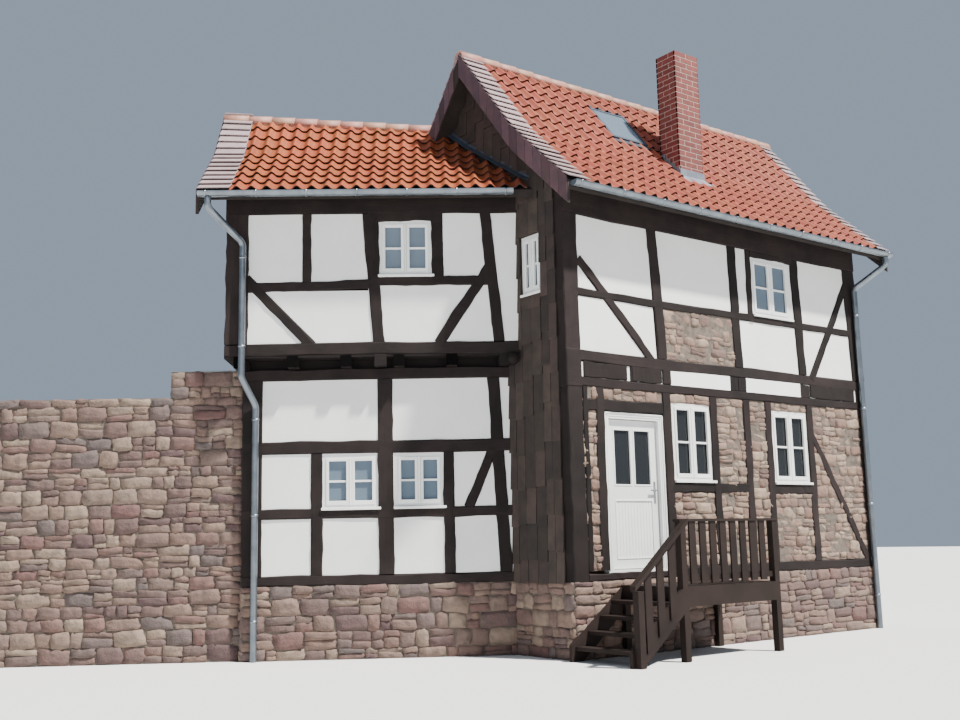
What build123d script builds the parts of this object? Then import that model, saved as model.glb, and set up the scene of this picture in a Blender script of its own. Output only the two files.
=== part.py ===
from build123d import *
import math
import os

# A half-timbered house of two angled wings, built against the end of a rubble town wall.
# Millimetres. X runs along the front of the right wing, Y goes into the house and Z is up. The model
# is drawn from the right wing's front left corner at ground level, and written with its origin at the
# middle of the plinth's pier in that corner.

os.makedirs("parts", exist_ok=True)

# Driving dimensions shared by both wings
wall_thickness = 160
infill_thickness = 120
infill_recess = 14
plinth_height = 930
plinth_thickness = 400
sill_height = 130
floor_level = plinth_height + sill_height
post_width = 150
rail_height = 105
brace_width = 125
plate_height = 150
board_thickness = 30
joist_height = 140
joist_width = 140
joist_spacing = 700
window_frame_depth = 70
window_frame_width = 60
window_setback = 15
glass_thickness = 6
verge_board_thickness = 30
verge_board_depth = 300
ridge_tile_radius = 115
ridge_tile_thickness = 20
ridge_tile_leg = 60
ridge_clearance = 5
gutter_radius = 70
gutter_thickness = 4
pipe_radius = 45
pipe_thickness = 5

# Right wing
right_length = 6300
right_depth = 3600
right_eave_reach = 450
right_eave_level = 5900
right_lower_pitch = 43
right_kink_inset = 650
right_ridge_level = 8380
right_verge_reach = 250
right_roof_thickness = 250
right_lower_top = 3385
right_upper_sill = 3700
right_upper_floor_level = 3850
right_plate_level = 5650
corner_post_width = 250

# Left wing, whose front turns back from the right wing's gable wall
wing_angle = 34.6
junction_inset = 1130
rear_wall_start = 720
left_length = 3580
left_depth = 2600
left_jetty = 200
left_side_jetty = 220
left_lower_top = 3625
left_upper_sill = 3930
left_upper_floor_level = 4090
left_plate_level = 5860
left_eave_reach = 320
left_eave_level = 6080
left_lower_pitch = 38
left_kink_inset = 620
left_ridge_level = 7800
left_ridge_fall = 230
left_verge_reach = 300
left_roof_thickness = 180

# Door and windows
door_left = 620
door_width = 1080
door_height = 2020
door_frame_width = 85
threshold_height = 40
door_set = 25
door_frame_depth = 100
door_gap = 8
door_leaf_thickness = 45
hinge_pin_offset = 8
hinge_radius = 8
hinge_height = 40
hinge_plate = 48
hinge_plate_thickness = 3
hinge_gap = 0.3
hinge_inset = 200
upper_window_left = 3720
upper_window_width = 880
upper_window_level = 4675
upper_window_height = 880
lower_window_level = 2200
lower_window_height = 1060
first_lower_window_left = 1875
first_lower_window_width = 775
second_lower_window_left = 3975
second_lower_window_width = 825
gable_window_inset = 450
gable_window_width = 400
gable_window_level = 4680
gable_window_height = 800

# Chimney and roof window
chimney_left = 2740
chimney_width = 500
chimney_inset = 400
chimney_depth = 380
chimney_level = 8730
flue_width = 200
roof_window_left = 1880
roof_window_width = 730
roof_window_inset = 960
roof_window_run = 490

# Town wall at the left end
town_wall_length = 4200
town_wall_thickness = 650
town_wall_setback = 100
town_wall_level = 3430
raised_wall_length = 970

# Entrance stair
stair_gap = 0.3
stair_width = 1080
landing_left = 760
landing_length = 1800
landing_level = 870
tread_count = 4
tread_run = 205
tread_thickness = 45
stringer_thickness = 50
stringer_depth = 260
stair_post_width = 90
rail_level = 800
baluster_width = 110
baluster_thickness = 25
baluster_pitch = 185

left_plan = Location((0, junction_inset, 0), (0, 0, -wing_angle))
corner_pier = Location((-plinth_thickness / 2, -plinth_thickness / 2, 0))


def bar(x0, x1, y0, y1, z0, z1):
    """A square-edged block between two corners."""
    return Pos(x0, y0, z0) * Box(x1 - x0, y1 - y0, z1 - z0, align=(Align.MIN, Align.MIN, Align.MIN))


def plank(points, y0, depth):
    """A board whose outline lies in the X-Z plane, from y0 inwards by depth."""
    outline = Plane.XZ.offset(-y0) * make_face(Polyline(*points, close=True))
    return extrude(outline, amount=-depth)


def brace(x0, z0, x1, z1, width=brace_width):
    """A slanting timber of the wall's thickness, by its centre line."""
    length = math.hypot(x1 - x0, z1 - z0)
    dx = -(z1 - z0) / length * width / 2
    dz = (x1 - x0) / length * width / 2
    points = [(x0 + dx, z0 + dz), (x1 + dx, z1 + dz), (x1 - dx, z1 - dz), (x0 - dx, z0 - dz)]
    return plank(points, 0, wall_thickness)


def post(x_foot, x_head, z0, z1, width=post_width):
    """A leaning post of the wall's thickness, by the left edge at its foot and head."""
    points = [(x_foot, z0), (x_foot + width, z0), (x_head + width, z1), (x_head, z1)]
    return plank(points, 0, wall_thickness)


def beam(x0, x1, z0, z1):
    """A level timber of the wall's thickness."""
    return bar(x0, x1, 0, wall_thickness, z0, z1)


def fuse(parts):
    """One shape from overlapping or touching pieces."""
    whole = parts[0]
    for piece in parts[1:]:
        whole = whole + piece
    return whole


def cut_all(shape, cutters):
    for cutter in cutters:
        shape = shape - cutter
    return shape


def main_solid(shape):
    """The largest solid of a cut shape, without its offcuts."""
    return max(shape.solids(), key=lambda solid: solid.volume)


def write(name, shape):
    """Write every solid of a sub-part to its own file."""
    pieces = shape if isinstance(shape, list) else [shape]
    solids = [corner_pier * solid for piece in pieces for solid in piece.solids()]
    export_step(Compound(children=[Solid(solid.wrapped) for solid in solids]), f"parts/{name}.step")


def right_roof_height(y):
    """Height of the right wing's roof deck at a distance in from the front wall."""
    y = min(y, right_depth - y)
    kink = right_eave_level + (right_kink_inset + right_eave_reach) * math.tan(math.radians(right_lower_pitch))
    if y <= right_kink_inset:
        return kink - (right_kink_inset - y) * math.tan(math.radians(right_lower_pitch))
    share = (y - right_kink_inset) / (right_depth / 2 - right_kink_inset)
    return kink + share * (right_ridge_level - kink)


def left_roof_height(y, fall):
    """Height of the left wing's roof deck at a distance in from its lower front wall."""
    half = left_depth / 2
    inset = min(y, left_depth - y)
    eave = -left_jetty - left_eave_reach
    kink = left_eave_level + (left_kink_inset - eave) * math.tan(math.radians(left_lower_pitch))
    if inset <= left_kink_inset:
        return kink - (left_kink_inset - inset) * math.tan(math.radians(left_lower_pitch))
    share = (inset - left_kink_inset) / (half - left_kink_inset)
    return kink + share * (left_ridge_level - fall - kink)


# Outlines of the two wings in plan

right_block = bar(0, right_length, 0, right_depth, 0, right_plate_level)
wing_overlap = 600


def left_block(x0, y0, z0, z1, inset=0):
    """The left wing's plan from its end wall to inside the right wing, in the house's frame."""
    block = bar(x0 + inset, wing_overlap, y0 + inset, left_depth - inset, z0, z1)
    return left_plan * block


def right_profile(top_shift, bottom_shift, reach=right_eave_reach):
    """Half of the right roof's section, from its front eave to the ridge, as points in Y and Z."""
    half = right_depth / 2
    top = [(-reach, right_roof_height(-reach) + top_shift),
           (right_kink_inset, right_roof_height(right_kink_inset) + top_shift),
           (half, right_ridge_level + top_shift)]
    under = [(half, right_ridge_level - bottom_shift),
             (right_kink_inset, right_roof_height(right_kink_inset) - bottom_shift),
             (0, right_roof_height(0) - bottom_shift),
             (-reach, right_roof_height(-reach) - bottom_shift / 2)]
    return top + under


def across(points, x0, length):
    """Extrude a section given in Y and Z along X."""
    outline = Plane.YZ.offset(x0) * make_face(Polyline(*points, close=True))
    return extrude(outline, amount=length)


def mirror_points(points, depth):
    return [(depth - y, z) for y, z in points]


def both_sides(points, depth):
    """A half section and its mirror image, whose last point is the shared ridge."""
    return points + mirror_points(points, depth)[::-1][1:]


# Right roof

right_roof_start = -right_verge_reach
right_roof_length = right_length + 2 * right_verge_reach
right_front_section = right_profile(0, right_roof_thickness)
right_front_roof = across(right_front_section, right_roof_start, right_roof_length)
right_rear_roof = across(mirror_points(right_front_section, right_depth), right_roof_start, right_roof_length)

under_front = [(0, 0), (0, right_roof_height(0) - right_roof_thickness),
               (right_kink_inset, right_roof_height(right_kink_inset) - right_roof_thickness),
               (right_depth / 2, right_ridge_level - right_roof_thickness)]
right_under_roof = across(both_sides(under_front, right_depth), 0, right_length)
right_envelope_front = [(0, 0), (0, right_roof_height(0)), (right_kink_inset, right_roof_height(right_kink_inset)),
                        (right_depth / 2, right_ridge_level)]
right_envelope = across(both_sides(right_envelope_front, right_depth),
                        0, right_length)

chimney_block = bar(chimney_left, chimney_left + chimney_width, chimney_inset, chimney_inset + chimney_depth,
                    0, chimney_level)
roof_window_hole = bar(roof_window_left, roof_window_left + roof_window_width,
                       roof_window_inset, roof_window_inset + roof_window_run,
                       right_plate_level + plate_height + joist_height, right_ridge_level)

# Left roof, a ruled sweep from the high left verge to the lower right end


def left_profile(fall):
    half = left_depth / 2
    eave = -left_jetty - left_eave_reach
    top = [(eave, left_roof_height(eave, 0)), (left_kink_inset, left_roof_height(left_kink_inset, 0)),
           (half, left_ridge_level - fall)]
    under = [(half, left_ridge_level - fall - left_roof_thickness),
             (left_kink_inset, left_roof_height(left_kink_inset, 0) - left_roof_thickness),
             (-left_jetty, left_roof_height(-left_jetty, 0) - left_roof_thickness),
             (eave, left_roof_height(eave, 0) - left_roof_thickness * 0.6)]
    return top + under


left_roof_start = -left_length - left_side_jetty - left_verge_reach
left_roof_end = 2000
fall_rate = left_ridge_fall / left_length


def left_fall(x):
    return (x - left_roof_start) * fall_rate


def left_roof_slope(mirrored):
    sections = []
    for x in (left_roof_start, left_roof_end):
        points = left_profile(left_fall(x))
        if mirrored:
            points = mirror_points(points, left_depth)
        sections.append(Plane.YZ.offset(x) * make_face(Polyline(*points, close=True)))
    return left_plan * loft(sections, ruled=True)


left_under_points = [(-left_jetty, 0), (-left_jetty, left_roof_height(-left_jetty, 0) - left_roof_thickness),
                     (left_kink_inset, left_roof_height(left_kink_inset, 0) - left_roof_thickness),
                     (left_depth / 2, left_ridge_level - left_fall(-left_length) - left_roof_thickness)]
left_under_roof = across(both_sides(left_under_points, left_depth),
                         left_roof_start, left_roof_end - left_roof_start)
left_walls_block = left_plan * bar(-left_length - left_side_jetty, wing_overlap, -left_jetty, left_depth,
                                   0, left_ridge_level)

behind_right = bar(-right_verge_reach * 2, right_length, right_depth, right_depth * 2, 0, right_ridge_level)
right_rear_roof = right_rear_roof - (left_walls_block & behind_right)
right_front_roof = right_front_roof - chimney_block - roof_window_hole
left_front_roof = main_solid(left_roof_slope(False) - right_envelope - right_rear_roof - right_front_roof)
left_rear_roof = main_solid(left_roof_slope(True) - right_envelope - right_rear_roof - right_front_roof)


def left_only(shape):
    """Keep what lies outside the right wing."""
    return shape - right_block


# Plinth and floors

outer_plan = right_block + left_block(-left_length, 0, 0, right_plate_level)


def inner_plan(inset):
    room = bar(inset, right_length - inset, inset, right_depth - inset, 0, right_plate_level)
    return room + left_block(-left_length, 0, 0, right_plate_level, inset)


def layer(z0, z1):
    far = 3 * right_length
    return bar(-far, far, -far, far, z0, z1)


plinth_ring = outer_plan - inner_plan(plinth_thickness)
right_inner_edge = right_length - plinth_thickness
right_rear_edge = right_depth - plinth_thickness
plinth_walls = [bar(0, right_length, 0, plinth_thickness, 0, plinth_height),
                bar(0, right_length, right_rear_edge, right_depth, 0, plinth_height),
                bar(right_inner_edge, right_length, plinth_thickness, right_rear_edge, 0, plinth_height),
                bar(0, plinth_thickness, plinth_thickness, right_rear_edge, 0, plinth_height),
                left_plan * bar(-left_length, wing_overlap, 0, plinth_thickness, 0, plinth_height),
                left_plan * bar(-left_length, wing_overlap, left_depth - plinth_thickness, left_depth,
                                0, plinth_height),
                left_plan * bar(-left_length, plinth_thickness - left_length, plinth_thickness,
                                left_depth - plinth_thickness, 0, plinth_height)]
plinth = []
for wall in plinth_walls:
    plinth.append(cut_all(wall & plinth_ring, plinth))
rear_corner = bar(rear_wall_start - wall_thickness, right_length, right_depth - wall_thickness, right_depth,
                  0, floor_level)

# Frames and infill of the walls. Each wall is drawn flat, seen from outside, then placed.


def fill(x0, x1, z0, z1, frame, holes):
    """The panels between the timbers, set a little back from their outer face."""
    sheet = bar(x0, x1, infill_recess, infill_recess + infill_thickness, z0, z1)
    return cut_all(sheet - frame, holes)


def hole(x0, width, z0, height):
    return bar(x0, x0 + width, -wall_thickness, 2 * wall_thickness, z0, z0 + height)


# Left wing, lower front

left_lower_window_level = 1920
left_lower_window_height = 710
left_lower_mid_rail = 2640
left_lower_mid_height = 165
left_windows_lower = [(-2530, 740), (-1580, 650)]
lower_rail_level = 1790
left_lower_holes = [hole(x, w, left_lower_window_level, left_lower_window_height) for x, w in left_windows_lower]
left_lower_frame = [beam(-left_length, 0, plinth_height, floor_level),
                    beam(-left_length, 0, lower_rail_level, lower_rail_level + 130),
                    beam(-left_length, 0, left_lower_mid_rail, left_lower_mid_rail + left_lower_mid_height),
                    beam(-left_length, 0, left_lower_top, left_lower_top + plate_height),
                    post(-left_length, -left_length, floor_level, left_lower_top, 260),
                    post(-2680, -2680, floor_level, left_lower_mid_rail, 150),
                    post(-1790, -1800, floor_level, left_lower_top, 200),
                    post(-930, -930, floor_level, left_lower_mid_rail, 140),
                    post(-210, -320, floor_level, left_lower_top, 160),
                    brace(-270, 2680, -600, 1900)]
left_lower_frame = cut_all(fuse(left_lower_frame), left_lower_holes)
left_lower_infill = fill(-left_length, 150, plinth_height, left_lower_top, left_lower_frame, left_lower_holes)

# Left wing, upper front, standing forward on the joists
left_upper_left = -left_length - left_side_jetty
left_upper_window = (-1755, 710)
left_upper_window_level = 5000
left_upper_window_height = 760
left_upper_holes = [hole(left_upper_window[0], left_upper_window[1], left_upper_window_level,
                         left_upper_window_height)]
left_upper_frame = [beam(left_upper_left, 150, left_upper_sill, left_upper_floor_level),
                    beam(left_upper_left, 150, left_plate_level, left_ridge_level),
                    post(left_upper_left, left_upper_left, left_upper_floor_level, left_plate_level, 300),
                    post(-2780, -2780, 4860, left_plate_level, 115),
                    post(-1840, -1975, left_upper_floor_level, left_plate_level, 150),
                    post(-1045, -1045, 4880, left_plate_level, 155),
                    post(-235, -386, left_upper_floor_level, left_plate_level, 145),
                    beam(-3500, -1900, 4800, 4800 + rail_height + 20),
                    beam(-1850, -330, 4865, 4865 + rail_height + 20),
                    brace(-3460, 4900, -2640, 4060),
                    brace(-370, 4960, -960, 4060)]
left_upper_frame = cut_all(fuse(left_upper_frame), left_upper_holes)
left_upper_infill = fill(left_upper_left, 200, left_upper_sill, left_plate_level, left_upper_frame,
                         left_upper_holes)
upper_front = Pos(0, -left_jetty, 0)
left_front_lower_frame = left_only(left_plan * left_lower_frame)
left_front_lower_infill = left_only(left_plan * left_lower_infill)
left_front_upper_frame = left_plan * ((upper_front * left_upper_frame) & left_under_roof)
left_front_upper_frame = left_front_upper_frame - right_envelope
left_front_upper_infill = left_plan * (upper_front * left_upper_infill) - right_envelope

# Left wing, end wall, drawn from rear to front
end_lower_length = left_depth - 2 * wall_thickness
end_upper_length = left_depth + left_jetty - 2 * wall_thickness
half_end = end_lower_length / 2
end_lower = [beam(0, end_lower_length, plinth_height, floor_level),
             beam(0, end_lower_length, left_lower_mid_rail, left_lower_mid_rail + left_lower_mid_height),
             beam(0, end_lower_length, left_lower_top, left_lower_top + plate_height),
             post(0, 0, floor_level, left_lower_top), post(half_end, half_end, floor_level, left_lower_top),
             post(end_lower_length - post_width, end_lower_length - post_width, floor_level, left_lower_top)]
end_upper = [beam(0, end_upper_length, left_upper_sill, left_upper_floor_level),
             beam(0, end_upper_length, 4830, 4830 + rail_height),
             beam(0, end_upper_length, left_plate_level, left_plate_level + plate_height),
             post(0, 0, left_upper_floor_level, left_plate_level),
             post(half_end, half_end, left_upper_floor_level, left_ridge_level),
             post(end_upper_length - post_width, end_upper_length - post_width, left_upper_floor_level,
                  left_plate_level),
             brace(half_end + post_width, 6600, end_upper_length - 350, 5990),
             brace(half_end, 6600, 350, 5990),
             brace(100, 4900, 900, 4060), brace(end_upper_length - 100, 4900, end_upper_length - 900, 4060)]
end_lower = fuse(end_lower)
end_upper = fuse(end_upper)
end_lower_fill = fill(0, end_lower_length, plinth_height, left_lower_top, end_lower, [])
end_upper_fill = fill(0, end_upper_length, left_upper_sill, left_ridge_level, end_upper, [])
end_lower_place = Location((-left_length, left_depth - wall_thickness, 0), (0, 0, -90))
end_upper_place = Location((left_upper_left, left_depth - wall_thickness, 0), (0, 0, -90))
end_roof = across(both_sides(left_under_points, left_depth),
                  left_upper_left, wall_thickness)
left_end_frame = fuse([left_plan * (end_lower_place * end_lower),
                       left_plan * ((end_upper_place * end_upper) & end_roof)])
left_end_infill = fuse([left_plan * (end_lower_place * end_lower_fill),
                        left_plan * ((end_upper_place * end_upper_fill) & end_roof)])

# Left wing, rear wall, drawn from right to left as seen from behind
rear_start = 2000
rear_place = Location((rear_start, left_depth, 0), (0, 0, 180))
rear_lower_end = rear_start + left_length
rear_upper_end = rear_start - left_upper_left
rear_windows = [(3600, 700, 1920, 710), (3600, 700, 5000, 720)]
rear_holes = [hole(x, w, z, h) for x, w, z, h in rear_windows]
rear_frame = [beam(0, rear_lower_end, plinth_height, floor_level),
              beam(0, rear_lower_end, left_lower_mid_rail, left_lower_mid_rail + left_lower_mid_height),
              beam(0, rear_lower_end, left_lower_top, left_lower_top + plate_height),
              beam(0, rear_upper_end, left_upper_sill, left_upper_floor_level),
              beam(0, rear_upper_end, 4865, 4865 + rail_height),
              beam(0, rear_upper_end, left_plate_level, left_ridge_level),
              post(rear_lower_end - 260, rear_lower_end - 260, floor_level, left_lower_top, 260),
              post(rear_upper_end - 300, rear_upper_end - 300, left_upper_floor_level, left_plate_level, 300)]
for x in (900, 1750, 2600, 3450, 4300):
    rear_frame.append(post(x, x, floor_level, left_lower_top))
    rear_frame.append(post(x, x, left_upper_floor_level, left_plate_level))
left_rear_frame_flat = cut_all(fuse(rear_frame), rear_holes)
rear_infill = fill(0, rear_lower_end, plinth_height, left_lower_top, left_rear_frame_flat, rear_holes)
rear_infill_upper = fill(0, rear_upper_end, left_upper_sill, left_plate_level, left_rear_frame_flat, rear_holes)
left_rear_frame = left_only(left_plan * ((rear_place * left_rear_frame_flat) & left_under_roof))
left_rear_frame = left_rear_frame - right_envelope - right_rear_roof
left_rear_infill = left_only(left_plan * (rear_place * fuse([rear_infill, rear_infill_upper])))
left_rear_infill = left_rear_infill - right_envelope - right_rear_roof

# Left wing, upper floor: joists from front to rear, reaching out under the upper storey
left_joist_level = left_lower_top + plate_height
left_deck_level = left_upper_sill - board_thickness
left_floor = [bar(left_upper_left, wing_overlap, -left_jetty, left_depth, left_deck_level, left_upper_sill)]
joist_x = left_upper_left + 130
while joist_x < wing_overlap:
    left_floor.append(bar(joist_x, joist_x + joist_width, -left_jetty, left_depth, left_joist_level,
                          left_deck_level))
    joist_x += joist_spacing
left_floor.append(bar(-left_length, wing_overlap, wall_thickness / 2, wall_thickness, left_joist_level,
                      left_deck_level))
left_floor.append(bar(-left_length, wing_overlap, left_depth - wall_thickness / 2, left_depth, left_joist_level,
                      left_deck_level))
left_floor.append(bar(-left_length, -left_length + wall_thickness / 2, 0, left_depth, left_joist_level,
                      left_deck_level))
inside_edge = bar(wall_thickness, right_length, 0, right_depth, 0, right_ridge_level)

# Right wing: the gable wall and its continuation above the left roof
gable_strip_length = 1420
gable_place = Location((0, gable_strip_length, 0), (0, 0, -90))
gable_hole = hole(gable_strip_length - gable_window_inset - gable_window_width, gable_window_width,
                  gable_window_level, gable_window_height)
gable_strip = gable_place * bar(0, gable_strip_length - wall_thickness, 0, wall_thickness, plinth_height,
                                right_plate_level)
gable_edges = bar(0, wall_thickness, wall_thickness, right_depth - wall_thickness, right_plate_level,
                  right_ridge_level)
gable_above = gable_edges & right_under_roof
gable_wall = [gable_strip - gable_place * gable_hole, gable_above]
right_floor_plan = bar(wall_thickness, right_length - wall_thickness, wall_thickness, right_depth - wall_thickness,
                       plinth_height, floor_level)
left_floor_plan = (inner_plan(wall_thickness) & layer(plinth_height, floor_level)) - right_floor_plan
ground_floor = [right_floor_plan - chimney_block, main_solid(cut_all(left_floor_plan, gable_wall) - rear_corner)]

# Right wing, front lower storey
head_top = right_lower_top + 120
door_right = door_left + door_width
door_top = floor_level + door_height
doorway = hole(door_left, door_width, floor_level - threshold_height, door_height + threshold_height)
entrance_frame = [beam(0, corner_post_width, plinth_height, right_lower_top),
                  beam(corner_post_width, door_right, plinth_height, floor_level),
                  beam(corner_post_width, door_right, door_top, door_top + 150),
                  post(door_left - 150, door_left - 150, floor_level, right_lower_top)]
entrance_timbers = fuse(entrance_frame)
entrance_frame = cut_all(entrance_frame[0], entrance_frame[1:]).solids() + [
    timber - doorway for timber in entrance_frame[1:]]
entrance_infill = fill(corner_post_width, door_right, floor_level, right_lower_top, entrance_timbers, [doorway])
first_window = hole(first_lower_window_left, first_lower_window_width, lower_window_level, lower_window_height)
second_window = hole(second_lower_window_left, second_lower_window_width, lower_window_level,
                     lower_window_height)
lower_rail = 2045
right_lower_frame = [beam(door_right, right_length, plinth_height, floor_level),
                     post(door_right, door_right, floor_level, right_lower_top, 160),
                     post(2650, 2640, floor_level, right_lower_top),
                     post(3350, 3345, floor_level, right_lower_top),
                     post(3830, 3830, floor_level, right_lower_top, 145),
                     post(4800, 4800, floor_level, right_lower_top),
                     post(6140, 6140, floor_level, right_lower_top, 160),
                     beam(door_right, 3400, lower_rail, lower_rail + 130),
                     beam(3900, 4850, lower_rail, lower_rail + 130),
                     brace(4900, 2950, 6150, 1010)]
right_lower_frame = cut_all(fuse(right_lower_frame) - entrance_timbers, [first_window, second_window])
right_lower_infill = fill(door_right, right_length, floor_level, right_lower_top, right_lower_frame,
                          [first_window, second_window])

# Right wing, beams between the storeys: the lower storey's head plate and the upper storey's sill
right_storey_beams = [bar(0, right_length, 0, wall_thickness, right_lower_top, head_top),
                      bar(0, right_length, 0, wall_thickness, right_upper_sill, right_upper_floor_level)]

# Right wing, front upper storey
upper_window = hole(upper_window_left, upper_window_width, upper_window_level, upper_window_height)
upper_rail = 4560
right_upper_frame = [beam(0, right_length, right_plate_level, right_ridge_level),
                     post(0, 0, right_upper_floor_level, right_plate_level, corner_post_width),
                     post(1640, 1555, right_upper_floor_level, right_plate_level, 180),
                     post(3230, 3210, right_upper_floor_level, right_plate_level, 180),
                     post(3605, 3605, upper_rail, right_plate_level, 115),
                     post(4700, 4650, right_upper_floor_level, right_plate_level, 190),
                     post(6060, 5990, right_upper_floor_level, right_plate_level, 310),
                     beam(0, right_length, upper_rail, upper_rail + rail_height),
                     brace(260, 5060, 1560, 3800), brace(6060, 5400, 5000, 3790)]
right_box = bar(0, right_length, 0, right_depth, right_upper_floor_level, right_ridge_level)
right_upper_frame = (fuse(right_upper_frame) & right_box & right_under_roof) - upper_window
right_upper_infill = fill(0, right_length, right_upper_floor_level, right_plate_level, right_upper_frame,
                          [upper_window])

# Right wing, upper floor with its joist ends showing between the beams
right_joist_level = head_top
right_deck_level = right_joist_level + joist_height
right_floor = [bar(wall_thickness, right_length - wall_thickness, wall_thickness, right_depth - wall_thickness,
                   right_deck_level, right_deck_level + board_thickness)]
band_infill = [bar(0, right_length, infill_recess, infill_recess + infill_thickness, head_top, right_upper_sill)]
band_infill = band_infill[0]
joist_x = 420
while joist_x < right_length - 2 * joist_width:
    joist = bar(joist_x, joist_x + joist_width, 0, right_depth, right_joist_level, right_upper_sill)
    short = bar(joist_x, joist_x + joist_width, wall_thickness, right_depth - wall_thickness,
                right_deck_level, right_upper_sill)
    right_floor.append(joist - short)
    band_infill = band_infill - joist
    joist_x += joist_spacing
right_upper_floor = cut_all(fuse(right_floor) - chimney_block, gable_wall)

# Right wing, rear wall
rear_right_length = right_length - rear_wall_start
rear_right_place = Location((right_length, right_depth, 0), (0, 0, 180))
rear_right_windows = [(1100, 750, lower_window_level, 900), (1100, 750, upper_window_level, 800),
                      (3600, 750, upper_window_level, 800)]
rear_right_holes = [hole(x, w, z, h) for x, w, z, h in rear_right_windows]
right_rear_frame = [beam(0, rear_right_length, plinth_height, floor_level),
                    beam(0, rear_right_length, right_lower_top, head_top),
                    beam(0, rear_right_length, right_upper_sill, right_upper_floor_level),
                    beam(0, rear_right_length, upper_rail, upper_rail + rail_height),
                    beam(0, rear_right_length, lower_rail, lower_rail + rail_height),
                    beam(0, rear_right_length, right_plate_level, right_ridge_level)]
for x in (0, 950, 1850, 2700, 3450, 4350, 5430):
    right_rear_frame.append(post(x, x, floor_level, right_lower_top))
    right_rear_frame.append(post(x, x, right_upper_floor_level, right_plate_level))
right_rear_flat = cut_all(fuse(right_rear_frame), rear_right_holes)
right_rear_fill = fill(0, rear_right_length, floor_level, right_lower_top, right_rear_flat, rear_right_holes)
right_rear_fill_upper = fill(0, rear_right_length, right_upper_floor_level, right_plate_level, right_rear_flat,
                             rear_right_holes)
rear_band = bar(0, rear_right_length, infill_recess, infill_recess + infill_thickness, head_top,
                right_upper_sill)
rear_joists = [joist for joist in right_floor[1:]]
right_rear_frame = (rear_right_place * right_rear_flat) & right_under_roof
right_rear_infill = rear_right_place * fuse([right_rear_fill, right_rear_fill_upper, rear_band])
right_rear_infill = cut_all(right_rear_infill, rear_joists)

# Right wing, plain party wall at the far end
party_wall = bar(right_length - wall_thickness, right_length, wall_thickness, right_depth - wall_thickness,
                 plinth_height, right_ridge_level) & right_under_roof

# Attic floor of the right wing
attic_floor = bar(wall_thickness, right_length - wall_thickness, wall_thickness, right_depth - wall_thickness,
                  right_plate_level, right_plate_level + joist_height) - chimney_block

# The left wing's joists end where the right wing's wall or inner edge begins
left_upper_floor = left_plan * fuse(left_floor)
left_upper_floor = cut_all(left_upper_floor - inside_edge, gable_wall)
left_upper_floor = left_upper_floor - (rear_right_place * right_rear_flat) - right_rear_infill

# Chimney
flue = bar(chimney_left + (chimney_width - flue_width) / 2, chimney_left + (chimney_width + flue_width) / 2,
           chimney_inset + (chimney_depth - flue_width) / 2, chimney_inset + (chimney_depth + flue_width) / 2,
           floor_level, chimney_level)
chimney = chimney_block - flue

# Roof window
window_rise = right_roof_height(roof_window_inset + roof_window_run) - right_roof_height(roof_window_inset)
sky_pitch = math.degrees(math.atan2(window_rise, roof_window_run))
sky_length = math.hypot(roof_window_run, window_rise)
sky_place = Location((roof_window_left, roof_window_inset, right_roof_height(roof_window_inset)),
                     (sky_pitch, 0, 0))
sky_margin = 45
sky_frame_height = 60
sky_outer = bar(0, roof_window_width, 0, sky_length, 0, sky_frame_height)
sky_inner = bar(sky_margin, roof_window_width - sky_margin, sky_margin, sky_length - sky_margin,
                -sky_frame_height, 2 * sky_frame_height)
sky_lining = bar(0, roof_window_width, 0, sky_length, -right_roof_thickness, 0) & (
    sky_place.inverse() * roof_window_hole)
roof_window_frame = sky_place * ((sky_outer + sky_lining) - bar(sky_margin, roof_window_width - sky_margin,
                                                                 sky_margin, sky_length - sky_margin,
                                                                 -2 * right_roof_thickness,
                                                                 2 * sky_frame_height))
roof_window_glass = sky_place * bar(sky_margin, roof_window_width - sky_margin, sky_margin,
                                    sky_length - sky_margin, sky_frame_height - 20, sky_frame_height - 8)

# Windows: a white frame with its casements, and glass


def window(x0, width, z0, height):
    """A two-light window in the flat wall's frame: the timber ring with its middle post, and its glass."""
    y0 = window_setback
    y1 = y0 + window_frame_depth
    ring = bar(x0, x0 + width, y0, y1, z0, z0 + height)
    light = (width - 3 * window_frame_width) / 2
    glass = []
    for x in (x0 + window_frame_width, x0 + 2 * window_frame_width + light):
        gap = bar(x, x + light, y0 - 1, y1 + 1, z0 + window_frame_width, z0 + height - window_frame_width)
        ring = ring - gap
        middle = (y0 + y1) / 2
        glass.append(bar(x, x + light, middle - glass_thickness / 2, middle + glass_thickness / 2,
                         z0 + window_frame_width, z0 + height - window_frame_width))
    return ring, glass


window_places = []
for x, w in left_windows_lower:
    window_places.append((left_plan, x, w, left_lower_window_level, left_lower_window_height))
window_places.append((left_plan * upper_front, left_upper_window[0], left_upper_window[1],
                      left_upper_window_level, left_upper_window_height))
for x, w, z, h in rear_windows:
    window_places.append((left_plan * rear_place, x, w, z, h))
window_places.append((gable_place, gable_strip_length - gable_window_inset - gable_window_width,
                      gable_window_width, gable_window_level, gable_window_height))
here = Location((0, 0, 0))
window_places.append((here, first_lower_window_left, first_lower_window_width, lower_window_level,
                      lower_window_height))
window_places.append((here, second_lower_window_left, second_lower_window_width, lower_window_level,
                      lower_window_height))
window_places.append((here, upper_window_left, upper_window_width, upper_window_level, upper_window_height))
for x, w, z, h in rear_right_windows:
    window_places.append((rear_right_place, x, w, z, h))
window_frames = []
window_glass = []
for place, x, w, z, h in window_places:
    ring, panes = window(x, w, z, h)
    window_frames.append(place * ring)
    window_glass += [place * pane for pane in panes]

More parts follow.
